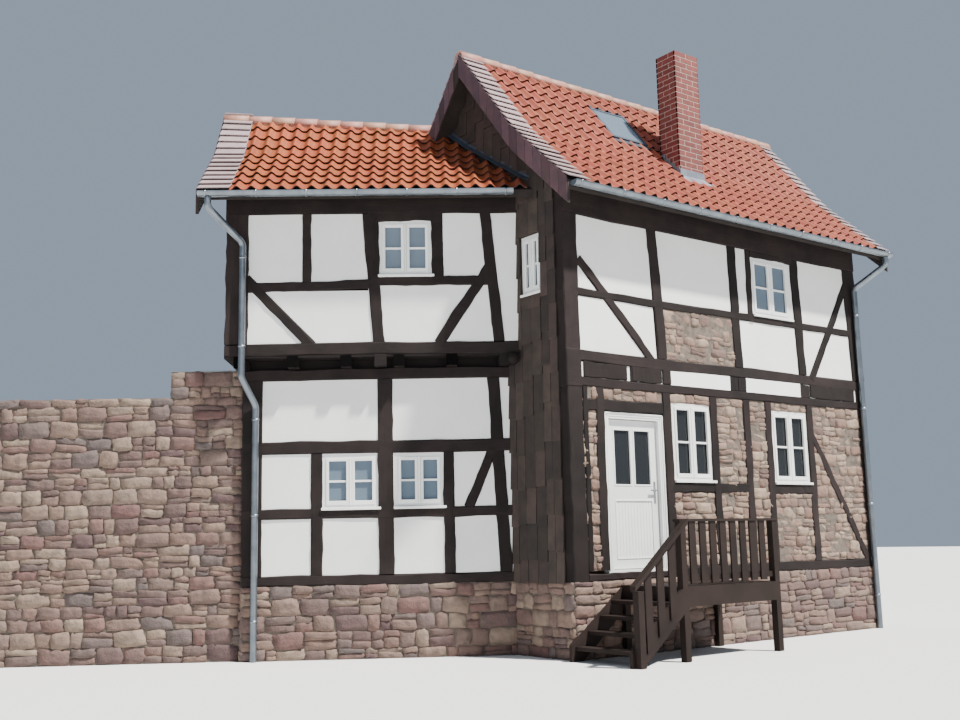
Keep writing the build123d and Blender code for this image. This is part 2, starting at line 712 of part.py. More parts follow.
# Door: frame, leaf, glass and handle
frame_inner_left = door_left + door_frame_width
frame_inner_right = door_right - door_frame_width
frame_inner_top = door_top - door_frame_width
door_back = door_set + door_frame_depth
door_frame = [bar(door_left, frame_inner_left, door_set, door_back, floor_level, door_top),
              bar(frame_inner_right, door_right, door_set, door_back, floor_level, door_top),
              bar(frame_inner_left, frame_inner_right, door_set, door_back, frame_inner_top, door_top),
              bar(door_left, door_right, door_set, door_back, floor_level - threshold_height, floor_level)]
leaf_front = door_back - door_leaf_thickness
leaf_left = frame_inner_left + door_gap
leaf_right = frame_inner_right - door_gap
leaf_bottom = floor_level + door_gap
leaf_top = frame_inner_top - door_gap
leaf_width = leaf_right - leaf_left
leaf_height = leaf_top - leaf_bottom
door_leaf = bar(leaf_left, leaf_right, leaf_front, leaf_front + door_leaf_thickness, leaf_bottom, leaf_top)
pane_bottom = floor_level + 1080
pane_top = leaf_top - 130
pane_margin = 120
pane_bar = 70
pane_width = (leaf_width - 2 * pane_margin - pane_bar) / 2
door_glass = []
for x in (leaf_left + pane_margin, leaf_left + pane_margin + pane_width + pane_bar):
    door_leaf = door_leaf - bar(x, x + pane_width, 0, wall_thickness, pane_bottom, pane_top)
    middle = leaf_front + door_leaf_thickness / 2
    door_glass.append(bar(x, x + pane_width, middle - glass_thickness / 2, middle + glass_thickness / 2,
                          pane_bottom, pane_top))
panel_depth = 12
panel_height = 720
panel_bottom = leaf_bottom + 140
door_leaf = door_leaf - bar(leaf_left + pane_margin, leaf_right - pane_margin, leaf_front - panel_depth,
                            leaf_front + panel_depth, panel_bottom, panel_bottom + panel_height)
pin_x = frame_inner_left + door_gap / 2
pin_y = door_back + hinge_pin_offset


def hinge_half(z0, x0, x1):
    """One knuckle of a hinge with its plate, which lies against the inner face from x0 to x1."""
    knuckle = Pos(pin_x, pin_y, z0) * Cylinder(hinge_radius, hinge_height,
                                               align=(Align.CENTER, Align.CENTER, Align.MIN))
    plate = bar(x0, x1, door_back, door_back + hinge_plate_thickness, z0, z0 + hinge_height)
    return knuckle + plate


frame_hinges = []
leaf_hinges = []
for z0 in (leaf_bottom + hinge_inset, leaf_bottom + leaf_height / 2, leaf_top - hinge_inset - 2 * hinge_height):
    frame_hinges.append(hinge_half(z0, pin_x - hinge_plate, pin_x))
    leaf_hinges.append(hinge_half(z0 + hinge_height + hinge_gap, pin_x, pin_x + hinge_plate))
handle_level = floor_level + 1010
handle_reach = 45
handle_length = 110
handle_x = leaf_right - 60
rosette = Pos(handle_x, leaf_front, handle_level) * Rot(90, 0, 0) * Cylinder(
    22, 8, align=(Align.CENTER, Align.CENTER, Align.MIN))
neck = Pos(handle_x, leaf_front, handle_level) * Rot(90, 0, 0) * Cylinder(
    9, handle_reach, align=(Align.CENTER, Align.CENTER, Align.MIN))
grip = bar(handle_x - handle_length, handle_x + 9, leaf_front - handle_reach - 9, leaf_front - handle_reach + 9,
           handle_level - 9, handle_level + 9)
door_handle = rosette + neck + grip

# Ridge tiles: half round, seated over both slopes


def ridge_tile_run(radius, thickness, leg, length):
    """A hood along X: half a pipe with its crown at +Z and a straight leg down each side."""
    outer = Rot(0, 90, 0) * Cylinder(radius, length, align=(Align.CENTER, Align.CENTER, Align.MIN))
    inner = Rot(0, 90, 0) * Cylinder(radius - thickness, length, align=(Align.CENTER, Align.CENTER, Align.MIN))
    lower = bar(0, length, -2 * radius, 2 * radius, -2 * radius, 0)
    legs = bar(0, length, -radius, thickness - radius, -leg, 0) + bar(0, length, radius - thickness, radius, -leg, 0)
    return outer - inner - lower + legs


ridge_seat = ridge_tile_radius - ridge_tile_thickness - ridge_clearance
right_ridge = Pos(right_roof_start, right_depth / 2, right_ridge_level - ridge_seat) * ridge_tile_run(
    ridge_tile_radius, ridge_tile_thickness, ridge_tile_leg, right_roof_length)
right_ridge = right_ridge - right_front_roof - right_rear_roof
ridge_run = 4600
ridge_slope = math.degrees(math.atan(fall_rate))
left_ridge = left_plan * Location((left_roof_start, left_depth / 2, left_ridge_level - ridge_seat),
                                  (0, ridge_slope, 0)) * ridge_tile_run(ridge_tile_radius, ridge_tile_thickness,
                                                                        ridge_tile_leg, ridge_run)
left_ridge = left_ridge - left_front_roof - left_rear_roof - right_envelope - right_rear_roof - right_front_roof

# Verge boards along the gables


def verge_board(points, drop):
    """A board under a roof's edge, following its slope; the points give the deck's line in Y and Z."""
    return points + [(y, z - drop) for y, z in reversed(points)]


right_line = [(-right_eave_reach, right_roof_height(-right_eave_reach)),
              (right_kink_inset, right_roof_height(right_kink_inset)), (right_depth / 2, right_ridge_level)]
behind_left_ridge = left_plan * bar(-left_length, wing_overlap, left_depth / 2, 2 * left_depth, 0,
                                    left_ridge_level)
verge_boards = []
for line in (right_line, mirror_points(right_line, right_depth)):
    outline = verge_board(line, verge_board_depth)
    near_board = across(outline, right_roof_start - verge_board_thickness, verge_board_thickness)
    verge_boards.append(main_solid(near_board - behind_left_ridge))
    verge_boards.append(across(outline, right_roof_start + right_roof_length, verge_board_thickness))
left_eave = -left_jetty - left_eave_reach
left_line = [(left_eave, left_roof_height(left_eave, 0)), (left_kink_inset, left_roof_height(left_kink_inset, 0)),
             (left_depth / 2, left_ridge_level)]
for line in (left_line, mirror_points(left_line, left_depth)):
    verge_boards.append(left_plan * across(verge_board(line, verge_board_depth),
                                           left_roof_start - verge_board_thickness, verge_board_thickness))
left_front_roof = main_solid(cut_all(left_front_roof, verge_boards))
left_rear_roof = main_solid(cut_all(left_rear_roof, verge_boards))
ridge_tiles = [main_solid(right_ridge), main_solid(cut_all(left_ridge, verge_boards))]

# Gutters and downpipes


def gutter(x0, length, y, z):
    outer = Rot(0, 90, 0) * Cylinder(gutter_radius, length, align=(Align.CENTER, Align.CENTER, Align.MIN))
    inner = Rot(0, 90, 0) * Cylinder(gutter_radius - gutter_thickness, length - 2 * gutter_thickness,
                                     align=(Align.CENTER, Align.CENTER, Align.MIN))
    upper = bar(0, length, -2 * gutter_radius, 2 * gutter_radius, 0, 2 * gutter_radius)
    trough = outer - Pos(gutter_thickness, 0, 0) * inner - upper
    return Pos(x0, y, z) * trough


def pipe(points, radii):
    """A round pipe along straight runs joined by arcs."""
    route = FilletPolyline(*points, radius=radii)
    start = Plane(origin=points[0], z_dir=(0, 0, -1))
    ring = start * (Circle(pipe_radius) - Circle(pipe_radius - pipe_thickness))
    return sweep(ring, path=route)


left_gutter_y = left_eave - gutter_radius
left_gutter_level = left_eave_level - 20
right_gutter_y = -right_eave_reach - gutter_radius
right_gutter_level = right_eave_level - 20
left_gutter_length = 4150
gutters = [left_plan * gutter(left_roof_start, left_gutter_length, left_gutter_y, left_gutter_level),
           gutter(right_roof_start, right_roof_length, right_gutter_y, right_gutter_level)]
left_pipe_top = left_gutter_level - gutter_radius
left_outlet = left_roof_start + 130
upper_pipe_y = -left_jetty - pipe_radius - 15
lower_pipe_y = -pipe_radius - 15
left_pipe = [(left_outlet, left_gutter_y, left_pipe_top), (left_outlet, left_gutter_y, left_pipe_top - 130),
             (-3560, upper_pipe_y, 5450), (-3560, upper_pipe_y, 3640), (-3400, lower_pipe_y, 3280),
             (-3400, lower_pipe_y, 0)]
right_pipe_top = right_gutter_level - gutter_radius
right_pipe_x = right_length - 110
right_pipe = [(right_length + 130, right_gutter_y, right_pipe_top),
              (right_length + 130, right_gutter_y, right_pipe_top - 120),
              (right_pipe_x, -pipe_radius - 15, 5350), (right_pipe_x, -pipe_radius - 15, 0)]
downpipes = [left_plan * pipe(left_pipe, 120), pipe(right_pipe, 120)]

# Town wall, running away to the left
wall_front = town_wall_setback
town_wall = [left_plan * bar(-left_length - town_wall_length, -left_length, wall_front,
                             wall_front + town_wall_thickness, 0, town_wall_level),
             left_plan * bar(-left_length - raised_wall_length, -left_length, wall_front,
                             wall_front + town_wall_thickness, town_wall_level, left_joist_level)]

# Entrance stair and landing along the front
stair_front = -stair_gap - stair_width
landing_right = landing_left + landing_length
rim_height = 190
deck_bottom = landing_level - tread_thickness
landing = [bar(landing_left, landing_right, stair_front, -stair_gap, deck_bottom, landing_level),
           bar(landing_left, landing_right, stair_front, stair_front + stringer_thickness,
               deck_bottom - rim_height, deck_bottom),
           bar(landing_left, landing_right, -stair_gap - stringer_thickness, -stair_gap,
               deck_bottom - rim_height, deck_bottom),
           bar(landing_left, landing_left + stringer_thickness, stair_front + stringer_thickness,
               -stair_gap - stringer_thickness, deck_bottom - rim_height, deck_bottom),
           bar(landing_right - stringer_thickness, landing_right, stair_front + stringer_thickness,
               -stair_gap - stringer_thickness, deck_bottom - rim_height, deck_bottom)]
landing_posts = []
post_xs = (landing_left, landing_right - stair_post_width)
for x in post_xs:
    for y in (stair_front, -stair_gap - stair_post_width):
        landing_posts.append(bar(x, x + stair_post_width, y, y + stair_post_width, 0, deck_bottom - rim_height))
landing_deck = landing + landing_posts
step_rise = landing_level / (tread_count + 1)
stair_start = landing_left - tread_count * tread_run
treads = []
for step in range(tread_count):
    x = stair_start + step * tread_run
    top = (step + 1) * step_rise
    treads.append(bar(x, x + tread_run + 30, stair_front + stringer_thickness, -stair_gap - stringer_thickness,
                      top - tread_thickness, top))
treads[-1] = treads[-1] & bar(-10000, landing_left, -10000, 10000, 0, 10000)
string_points = [(stair_start - 60, 0), (stair_start + 130, 0), (landing_left, landing_level - stringer_depth - 60),
                 (landing_left, landing_level - 20), (stair_start - 60, step_rise + 20)]
stringers = [plank(string_points, stair_front, stringer_thickness),
             plank(string_points, -stair_gap - stringer_thickness, stringer_thickness)]

# Balustrade: posts, rails and boards along the landing's front and the stair
rail_top = landing_level + rail_level
balustrade = []
for x in (landing_left, landing_right - stair_post_width):
    balustrade.append(bar(x, x + stair_post_width, stair_front, stair_front + stair_post_width, landing_level,
                          rail_top - 30))
balustrade.append(bar(landing_left - 20, landing_right, stair_front - 10, stair_front + 100, rail_top - 30,
                      rail_top))
balustrade.append(bar(landing_left + stair_post_width, landing_right - stair_post_width, stair_front + 30,
                      stair_front + 70, landing_level + 60, landing_level + 130))
board_x = landing_left + stair_post_width + 70
while board_x + baluster_width < landing_right - stair_post_width:
    balustrade.append(bar(board_x, board_x + baluster_width, stair_front + 5, stair_front + 5 + baluster_thickness,
                          landing_level + 30, rail_top - 30))
    board_x += baluster_pitch
foot_post_x = stair_start - 20
slope_rise = landing_level - step_rise
newel_top = step_rise + rail_level - 120
balustrade_flight = [bar(foot_post_x, foot_post_x + stair_post_width, stair_front - stair_post_width,
                         stair_front, 0, newel_top)]
hand = [(foot_post_x - 40, newel_top), (landing_left + 40, rail_top - 60), (landing_left + 40, rail_top),
        (foot_post_x - 40, newel_top + 60)]
balustrade_flight.append(plank(hand, stair_front - stair_post_width, stair_post_width))
board_x = foot_post_x + stair_post_width + 90
slope = (rail_top - 60 - newel_top) / (landing_left + 80 - foot_post_x)
while board_x + baluster_width < landing_left - 20:
    low = step_rise + (board_x - stair_start) * (slope_rise / (tread_count * tread_run)) - 160
    high = newel_top + (board_x - foot_post_x + 40) * slope
    points = [(board_x, low), (board_x + baluster_width, low + baluster_width * slope),
              (board_x + baluster_width, high + baluster_width * slope), (board_x, high)]
    balustrade_flight.append(plank(points, stair_front - baluster_thickness, baluster_thickness))
    board_x += baluster_pitch + 20
landing_balustrade = fuse(balustrade)
stair_balustrade = [landing_balustrade, fuse(balustrade_flight) - landing_balustrade]

# Files, one for each sub-part
parts = {
    "town_wall": town_wall,
    "plinth": plinth,
    "ground_floor": ground_floor,
    "left_lower_frame": left_front_lower_frame,
    "left_lower_infill": left_front_lower_infill,
    "left_upper_frame": left_front_upper_frame,
    "left_upper_infill": left_front_upper_infill,
    "left_end_frame": left_end_frame,
    "left_end_infill": left_end_infill,
    "left_rear_frame": left_rear_frame,
    "left_rear_infill": left_rear_infill,
    "left_upper_floor": left_upper_floor,
    "left_front_roof": left_front_roof,
    "left_rear_roof": left_rear_roof,
    "gable_wall": gable_wall,
    "entrance_frame": entrance_frame,
    "right_lower_frame": right_lower_frame,
    "right_lower_infill": [entrance_infill, right_lower_infill],
    "right_storey_beams": right_storey_beams,
    "right_upper_frame": right_upper_frame,
    "right_upper_infill": [right_upper_infill, band_infill],
    "right_rear_frame": right_rear_frame,
    "right_rear_infill": right_rear_infill,
    "party_wall": party_wall,
    "right_upper_floor": right_upper_floor,
    "attic_floor": attic_floor,
    "right_front_roof": right_front_roof,
    "right_rear_roof": right_rear_roof,
    "ridge_tiles": ridge_tiles,
    "verge_boards": verge_boards,
    "gutters": gutters,
    "downpipes": downpipes,
    "chimney": chimney,
    "roof_window_frame": roof_window_frame,
    "window_frames": window_frames,
    "window_glass": window_glass + [roof_window_glass],
    "door_frame": door_frame,
    "frame_hinges": frame_hinges,
    "leaf_hinges": leaf_hinges,
    "door_leaf": door_leaf,
    "door_glass": door_glass,
    "door_handle": door_handle,
    "landing_deck": landing_deck,
    "stair_flight": treads + stringers,
    "stair_balustrade": stair_balustrade,
}
for name, shape in parts.items():
    write(name, shape)
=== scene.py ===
"""Looks of a half-timbered house of two angled wings beside a rubble town wall."""

import math

import bpy
import numpy as np
from mathutils import Matrix, Vector


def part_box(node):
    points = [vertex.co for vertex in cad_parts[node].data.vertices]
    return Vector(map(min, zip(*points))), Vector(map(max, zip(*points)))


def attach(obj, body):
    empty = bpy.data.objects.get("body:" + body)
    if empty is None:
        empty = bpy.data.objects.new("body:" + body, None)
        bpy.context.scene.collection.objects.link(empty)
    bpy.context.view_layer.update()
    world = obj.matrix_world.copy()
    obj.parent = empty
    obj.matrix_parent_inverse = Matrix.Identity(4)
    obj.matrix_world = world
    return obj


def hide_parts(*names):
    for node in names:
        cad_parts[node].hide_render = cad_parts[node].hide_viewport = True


bl_info = {
    "name": "Half-timbered house",
    "version": (1, 0, 0),
    "blender": (4, 5, 0),
    "location": "View3D > Sidebar > House",
    "description": "Dresses the frame of a half-timbered house of two wings",
    "category": "Object",
}

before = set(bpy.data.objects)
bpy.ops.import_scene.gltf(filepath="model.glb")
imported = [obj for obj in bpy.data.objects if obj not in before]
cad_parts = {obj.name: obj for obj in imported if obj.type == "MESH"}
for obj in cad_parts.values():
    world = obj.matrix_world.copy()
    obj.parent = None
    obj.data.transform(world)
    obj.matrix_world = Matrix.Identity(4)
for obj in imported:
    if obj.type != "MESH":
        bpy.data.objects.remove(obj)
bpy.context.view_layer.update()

# The house's own places: X along the right wing's front, Y inwards, Z up, in metres
wing_angle = 34.6
junction = 1.13
wall_depth = 0.16
jetty = 0.2
side_jetty = 0.22
right_length = 6.3
right_depth = 3.6
left_length = 3.58
left_depth = 2.6
gable_run = 1.42
rear_overlap = 2.0
rear_start = 1.35

# Heights of the storeys over the ground
plinth_top = 0.93
floor_top = 1.06
left_plate = 3.625
left_plate_top = 3.775
left_sill = 4.09
left_head = 5.86
left_rails = ((plinth_top, floor_top), (2.64, 2.805), (left_plate, left_plate_top))
right_plate = 3.385
right_sill = 3.85
right_head = 5.65
corner_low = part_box("right_storey_beams")[0]


def moved(x, y, z=0.0, turn=0.0):
    """A place in a wall's or wing's own frame, turned about the upright."""
    return Matrix.Translation((x, y, z)) @ Matrix.Rotation(math.radians(turn), 4, "Z")


def axes(x, y, z, origin):
    """A place by its three directions and its origin."""
    place = Matrix((x, y, z)).transposed().to_4x4()
    place.translation = origin
    return place


HOUSE = moved(corner_low.x, corner_low.y)
LEFT = HOUSE @ moved(0, junction, 0, -wing_angle)
LEFT_UPPER = LEFT @ moved(0, -jetty)
LEFT_END_LOWER = LEFT @ moved(-left_length, left_depth - wall_depth, 0, -90)
LEFT_END_UPPER = LEFT @ moved(-left_length - side_jetty, left_depth - wall_depth, 0, -90)
LEFT_REAR = LEFT @ moved(rear_overlap, left_depth, 0, 180)
RIGHT_REAR = HOUSE @ moved(right_length, right_depth, 0, 180)
PARTY_SIDE = HOUSE @ moved(right_length, 0, 0, 90)
GABLE = HOUSE @ moved(0, gable_run, 0, -90)


# Settings that a user would change


class HouseRoof(bpy.types.PropertyGroup):
    """Size of the roof coverings."""

    wave: bpy.props.FloatProperty(name="Tile wave", description="Height of a tile's roll", default=0.055,
                                  min=0.01, unit="LENGTH")


class HouseColours(bpy.types.PropertyGroup):
    """Main colours of the finishes."""

    timber: bpy.props.FloatVectorProperty(name="Timber", description="Tarred frame timbers", subtype="COLOR",
                                          size=4, default=(0.006, 0.0045, 0.0045, 1))
    plaster: bpy.props.FloatVectorProperty(name="Plaster", description="Limewashed panels", subtype="COLOR",
                                           size=4, default=(0.88, 0.88, 0.87, 1))
    tile: bpy.props.FloatVectorProperty(name="Tile", description="Fired clay roof tiles", subtype="COLOR",
                                        size=4, default=(0.285, 0.068, 0.038, 1))
    brick: bpy.props.FloatVectorProperty(name="Brick", description="Chimney bricks", subtype="COLOR",
                                         size=4, default=(0.17, 0.040, 0.032, 1))


class HouseStage(bpy.types.PropertyGroup):
    """Camera and light."""

    lens: bpy.props.FloatProperty(name="Lens", description="Focal length in mm", default=41.25, min=10)
    sun: bpy.props.FloatProperty(name="Key light", description="Strength of the main light", default=12.0,
                                 min=0)


# Modelling helpers


def deselect():
    if bpy.context.object and bpy.context.object.mode != "OBJECT":
        bpy.ops.object.mode_set(mode="OBJECT")
    bpy.ops.object.select_all(action="DESELECT")


def begin(add_primitive, **settings):
    """Add a primitive, apply its turn and open it in edit mode with all of it selected."""
    deselect()
    add_primitive(**settings)
    bpy.ops.object.transform_apply(location=False, rotation=True, scale=True)
    bpy.ops.object.mode_set(mode="EDIT")
    bpy.ops.mesh.select_all(action="SELECT")
    return bpy.context.object


def pick(obj, kind, test):
    """In edit mode, select only what passes a test: a vertex's place, an edge's way or a face's middle."""
    bpy.ops.mesh.select_all(action="DESELECT")
    bpy.ops.mesh.select_mode(type=kind)
    bpy.ops.object.mode_set(mode="OBJECT")
    mesh = obj.data
    if kind == "VERT":
        for vertex in mesh.vertices:
            vertex.select = test(vertex.co)
    elif kind == "EDGE":
        for edge in mesh.edges:
            start, end = (mesh.vertices[index].co for index in edge.vertices)
            edge.select = test((end - start).normalized())
    else:
        for face in mesh.polygons:
            face.select = test(face.center)
    bpy.ops.object.mode_set(mode="EDIT")


def thicken(obj, thickness, offset):
    """Leave edit mode and give a sheet a thickness."""
    bpy.ops.object.mode_set(mode="OBJECT")
    shell = obj.modifiers.new("thickness", "SOLIDIFY")
    shell.thickness = thickness
    shell.offset = offset
    bpy.ops.object.modifier_apply(modifier="thickness")


def listed(items, key, kind, width=1):
    """One value of each of a mesh's items, as an array."""
    values = np.empty(len(items) * width, kind)
    items.foreach_get(key, values)
    return values


class Template:
    """A small finished mesh, kept to be copied many times into one joined piece."""

    def __init__(self, obj, smooth=False):
        deselect()
        mesh = obj.data
        self.points = listed(mesh.vertices, "co", float, 3).reshape(-1, 3)
        self.loops = listed(mesh.loops, "vertex_index", np.int32)
        self.starts = listed(mesh.polygons, "loop_start", np.int32)
        self.smooth = smooth
        bpy.data.objects.remove(obj)


dice = np.random.default_rng(16)
finishes = {}


class Heap:
    """Copies of templates on their way to one joined piece."""

    def __init__(self):
        self.copies = []
        self.point_count = 0
        self.loop_count = 0

    def add(self, template, place, points=None, tone=None):
        """Copy a template, or its reshaped points, to a place, with a given or a random tone."""
        if tone is None:
            tone = dice.random()
        local = template.points if points is None else points
        world = local @ np.array(place.to_3x3()).T + np.array(place.translation)
        grain = np.stack([local[:, 0] + 7.3 * tone, local[:, 1] + local[:, 2] + 3.1 * tone], axis=1)
        self.copies.append((world, template.loops + self.point_count, template.starts + self.loop_count,
                            np.full(len(local), tone), grain, np.full(len(template.starts), template.smooth)))
        self.point_count += len(local)
        self.loop_count += len(template.loops)

    def build(self, name, finish_name, body="house", replaces=()):
        """Join all copies as one piece that rides on a body."""
        points, loops, starts, tones, grains, smooth = [np.concatenate(each) for each in zip(*self.copies)]
        mesh = bpy.data.meshes.new(name)
        mesh.vertices.add(len(points))
        mesh.vertices.foreach_set("co", points.astype(np.float32).ravel())
        mesh.loops.add(len(loops))
        mesh.loops.foreach_set("vertex_index", loops.astype(np.int32))
        mesh.polygons.add(len(starts))
        mesh.polygons.foreach_set("loop_start", starts.astype(np.int32))
        mesh.polygons.foreach_set("use_smooth", smooth)
        mesh.update(calc_edges=True)
        tone = mesh.attributes.new("tone", "FLOAT", "POINT")
        tone.data.foreach_set("value", tones.astype(np.float32))
        grain = mesh.uv_layers.new(name="grain")
        grain.data.foreach_set("uv", grains[loops].astype(np.float32).ravel())
        mesh.validate()
        mesh.materials.append(finishes[finish_name])
        obj = bpy.data.objects.new(name, mesh)
        bpy.context.scene.collection.objects.link(obj)
        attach(obj, body)
        if replaces:
            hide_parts(*replaces)


# Templates

unit_chamfer = 0.1
timber_cuts = 13
tile_columns = 10
tile_thickness = 0.019
ridge_length = 0.36
ridge_radius = 0.11
ridge_foot = -0.06
ridge_taper = 0.88
hoop_thickness = 0.004
hoop_rim = 0.012
round_sides = 20
rod_sides = 12
lengthways = {"rotation": (0, math.radians(90), 0)}


def make_block():
    """A unit block with chamfered edges, for boards, bars, bricks and slates."""
    obj = begin(bpy.ops.mesh.primitive_cube_add, size=1)
    bpy.ops.mesh.bevel(offset=unit_chamfer, segments=1)
    return Template(obj)


def make_timber():
    """A unit timber along X with chamfered arrises and many short lengths, to be hewn."""
    obj = begin(bpy.ops.mesh.primitive_cube_add, size=1)
    pick(obj, "EDGE", lambda way: abs(way.x) > 0.9)
    bpy.ops.mesh.bevel(offset=unit_chamfer, segments=1)
    pick(obj, "EDGE", lambda way: abs(way.x) > 0.9)
    bpy.ops.mesh.subdivide(number_cuts=timber_cuts)
    return Template(obj)


def make_stone(seed):
    """A rounded, uneven stone face; its hidden back is left off."""
    obj = begin(bpy.ops.mesh.primitive_cube_add, size=1)
    bpy.ops.mesh.subdivide(number_cuts=2)
    bpy.ops.mesh.vertices_smooth(factor=0.4, repeat=1)
    bpy.ops.transform.vertex_random(offset=0.10, seed=seed)
    pick(obj, "FACE", lambda middle: middle.y > 0.3)
    bpy.ops.mesh.delete(type="FACE")
    return Template(obj, smooth=True)


def make_pantile(wave):
    """A pantile of unit cover width and length: trough, roll and a thick edge. X across, Y up the slope."""
    obj = begin(bpy.ops.mesh.primitive_grid_add, x_subdivisions=tile_columns, y_subdivisions=1, size=1)
    for column in range(tile_columns + 1):
        across = column / tile_columns - 0.5
        share = 0.5 - 0.5 * math.cos(2 * math.pi * (across + 0.5))
        pick(obj, "VERT", lambda point: abs(point.x - across) < 0.01)
        bpy.ops.transform.translate(value=(0, 0.5, wave * share ** 1.8))
    thicken(obj, tile_thickness, -1)
    return Template(obj)


def make_ridge_tile():
    """A half-round ridge tile along X, a little wider at its lapping end."""
    obj = begin(bpy.ops.mesh.primitive_cylinder_add, vertices=round_sides, radius=ridge_radius,
                depth=ridge_length, end_fill_type="NOTHING", **lengthways)
    pick(obj, "VERT", lambda point: point.z < ridge_foot)
    bpy.ops.mesh.delete(type="VERT")
    pick(obj, "VERT", lambda point: point.x < 0)
    bpy.ops.transform.resize(value=(1, ridge_taper, ridge_taper), center_override=(0, 0, 0))
    thicken(obj, tile_thickness, -1)
    return Template(obj, smooth=True)


def make_rod():
    """A unit round rod along X."""
    obj = begin(bpy.ops.mesh.primitive_cylinder_add, vertices=rod_sides, radius=0.5, depth=1, **lengthways)
    return Template(obj, smooth=True)


def make_hoop(radius, width, half):
    """A thin hoop about X, closed or with its upper half left off."""
    obj = begin(bpy.ops.mesh.primitive_cylinder_add, vertices=round_sides, radius=radius, depth=width,
                end_fill_type="NOTHING", **lengthways)
    if half:
        pick(obj, "VERT", lambda point: point.z > hoop_rim)
        bpy.ops.mesh.delete(type="VERT")
    thicken(obj, hoop_thickness, 1)
    return Template(obj, smooth=True)


block = make_block()
timber = make_timber()
stones = [make_stone(seed) for seed in range(1, 9)]
ridge_tile = make_ridge_tile()
rod = make_rod()


def stretched(template, length, depth, height, chamfer, keep_ends=False):
    """A unit block's points at a real size, with its chamfers kept at their own size."""
    points = template.points.copy()
    for axis, size in enumerate((length, depth, height)):
        if axis == 0 and keep_ends:
            points[:, 0] *= size
            continue
        inset = (0.5 - np.abs(points[:, axis])) * chamfer / unit_chamfer
        points[:, axis] = np.sign(points[:, axis]) * (size / 2 - inset)
    return points


def board(heap, wall, x0, x1, y0, y1, z0, z1, chamfer=0.004, tone=None):
    """A square-edged board between two corners in a wall's frame."""
    place = wall @ Matrix.Translation(((x0 + x1) / 2, (y0 + y1) / 2, (z0 + z1) / 2))
    heap.add(block, place, stretched(block, x1 - x0, y1 - y0, z1 - z0, chamfer), tone)


def boards(heap, wall, y0, y1, rows, chamfer=0.003, tone=0.5):
    """Boards of one depth, from rows of their sides and heights."""
    for x0, x1, z0, z1 in rows:
        board(heap, wall, x0, x1, y0, y1, z0, z1, chamfer, tone)


def strap(heap, wall, start, end, out, width, thickness, chamfer=0.003, tone=None):
    """A flat board between two places in a wall's frame, facing a given way."""
    start, end = Vector(start), Vector(end)
    along = end - start
    length = along.length
    along.normalize()
    side = Vector(out).cross(along).normalized()
    place = axes(along, side, along.cross(side), (start + end) / 2)
    heap.add(block, wall @ place, stretched(block, length, width, thickness, chamfer), tone)


proud = 0.006
arris = 0.012


def hewn(heap, wall, x0, z0, x1, z1, height, depth=wall_depth, bow=0.006):
    """A hewn timber by its centre line: wavy arrises, a slight bow, and its front a little proud."""
    points = stretched(timber, math.hypot(x1 - x0, z1 - z0), depth + proud, height, arris, keep_ends=True)
    along = points[:, 0]
    phase = dice.random(6) * 2 * math.pi
    side = np.sign(points[:, 2])
    points[:, 2] += bow * np.sin(along * 1.7 + phase[0])
    points[:, 2] += side * 0.005 * np.sin(along * 7 + phase[1] + side)
    points[:, 2] += side * 0.004 * np.sin(along * 17 + phase[2] * side)
    points[:, 1] += 0.002 * np.sin(along * 5 + phase[3]) * (points[:, 1] < 0)
    points[:, 1:] += dice.normal(0, 0.0018, (len(points), 2))
    place = wall @ Matrix.Translation(((x0 + x1) / 2, (depth - proud) / 2, (z0 + z1) / 2))
    heap.add(timber, place @ Matrix.Rotation(-math.atan2(z1 - z0, x1 - x0), 4, "Y"), points)


def beam(heap, wall, x0, x1, z0, z1, **more):
    hewn(heap, wall, x0, (z0 + z1) / 2, x1, (z0 + z1) / 2, z1 - z0, **more)


def post(heap, wall, foot, head, z0, z1, width=0.15, **more):
    hewn(heap, wall, foot + width / 2, z0, head + width / 2, z1, width, **more)


def stud(heap, wall, x, z0, z1, width=0.15, **more):
    post(heap, wall, x, x, z0, z1, width, **more)


def brace(heap, wall, x0, z0, x1, z1, width=0.125, **more):
    hewn(heap, wall, x0, z0, x1, z1, width, **more)


def beam_end(heap, wall, x, y, z):
    """A round beam end that stands out of the wall."""
    turned = wall @ Matrix.Translation((x, y, z)) @ Matrix.Rotation(math.radians(90), 4, "Z")
    heap.add(rod, turned, rod.points * np.array([0.2, 0.16, 0.16]), 0.3)


def raise_frame(name, replaced, *walls):
    """One piece of timbers, from rows for each wall: a maker, its measures and its own options."""
    heap = Heap()
    for wall, rows in walls:
        for maker, *measures in rows:
            options = measures.pop() if isinstance(measures[-1], dict) else {}
            maker(heap, wall, *measures, **options)
    heap.build(name, "timber", replaces=(replaced,))


least_course = 0.05
least_stone = 0.07


def rubble(heap, wall, x0, x1, z0, z1, course=0.16, length=0.28, stand=0.02, depth=0.09):
    """Uneven courses of stones over a rectangle of wall, some as two thin layers, a little proud of it."""
    z = z0
    while z < z1 - 0.03:
        height = min(course * (0.7 + 0.7 * dice.random()), z1 - z)
        if z1 - z - height < least_course:
            height = z1 - z
        x = x0
        while x < x1 - 0.02:
            width = min(length * (0.45 + 1.1 * dice.random()), x1 - x)
            if x1 - x - width < least_stone:
                width = x1 - x
            share = 0.35 + 0.3 * dice.random()
            layers = [(0, 1)]
            if dice.random() < 0.45 and height > 0.1:
                layers = [(0, share), (share, 1)]
            for low, high in layers:
                stone = stones[dice.integers(len(stones))]
                points = stone.points * np.array([width * 0.99, depth, height * (high - low)])
                points += dice.normal(0, 1, points.shape) * (0.005, 0.003, 0.005)
                lift = (dice.random() - 0.5) * 0.02
                middle = (x + width / 2, depth / 2 - stand - lift, z + height * (low + high) / 2)
                turn = Matrix.Rotation((dice.random() - 0.5) * 0.2, 4, "Y")
                heap.add(stone, wall @ Matrix.Translation(middle) @ turn, points)
            x += width
        z += height


# Shader helpers

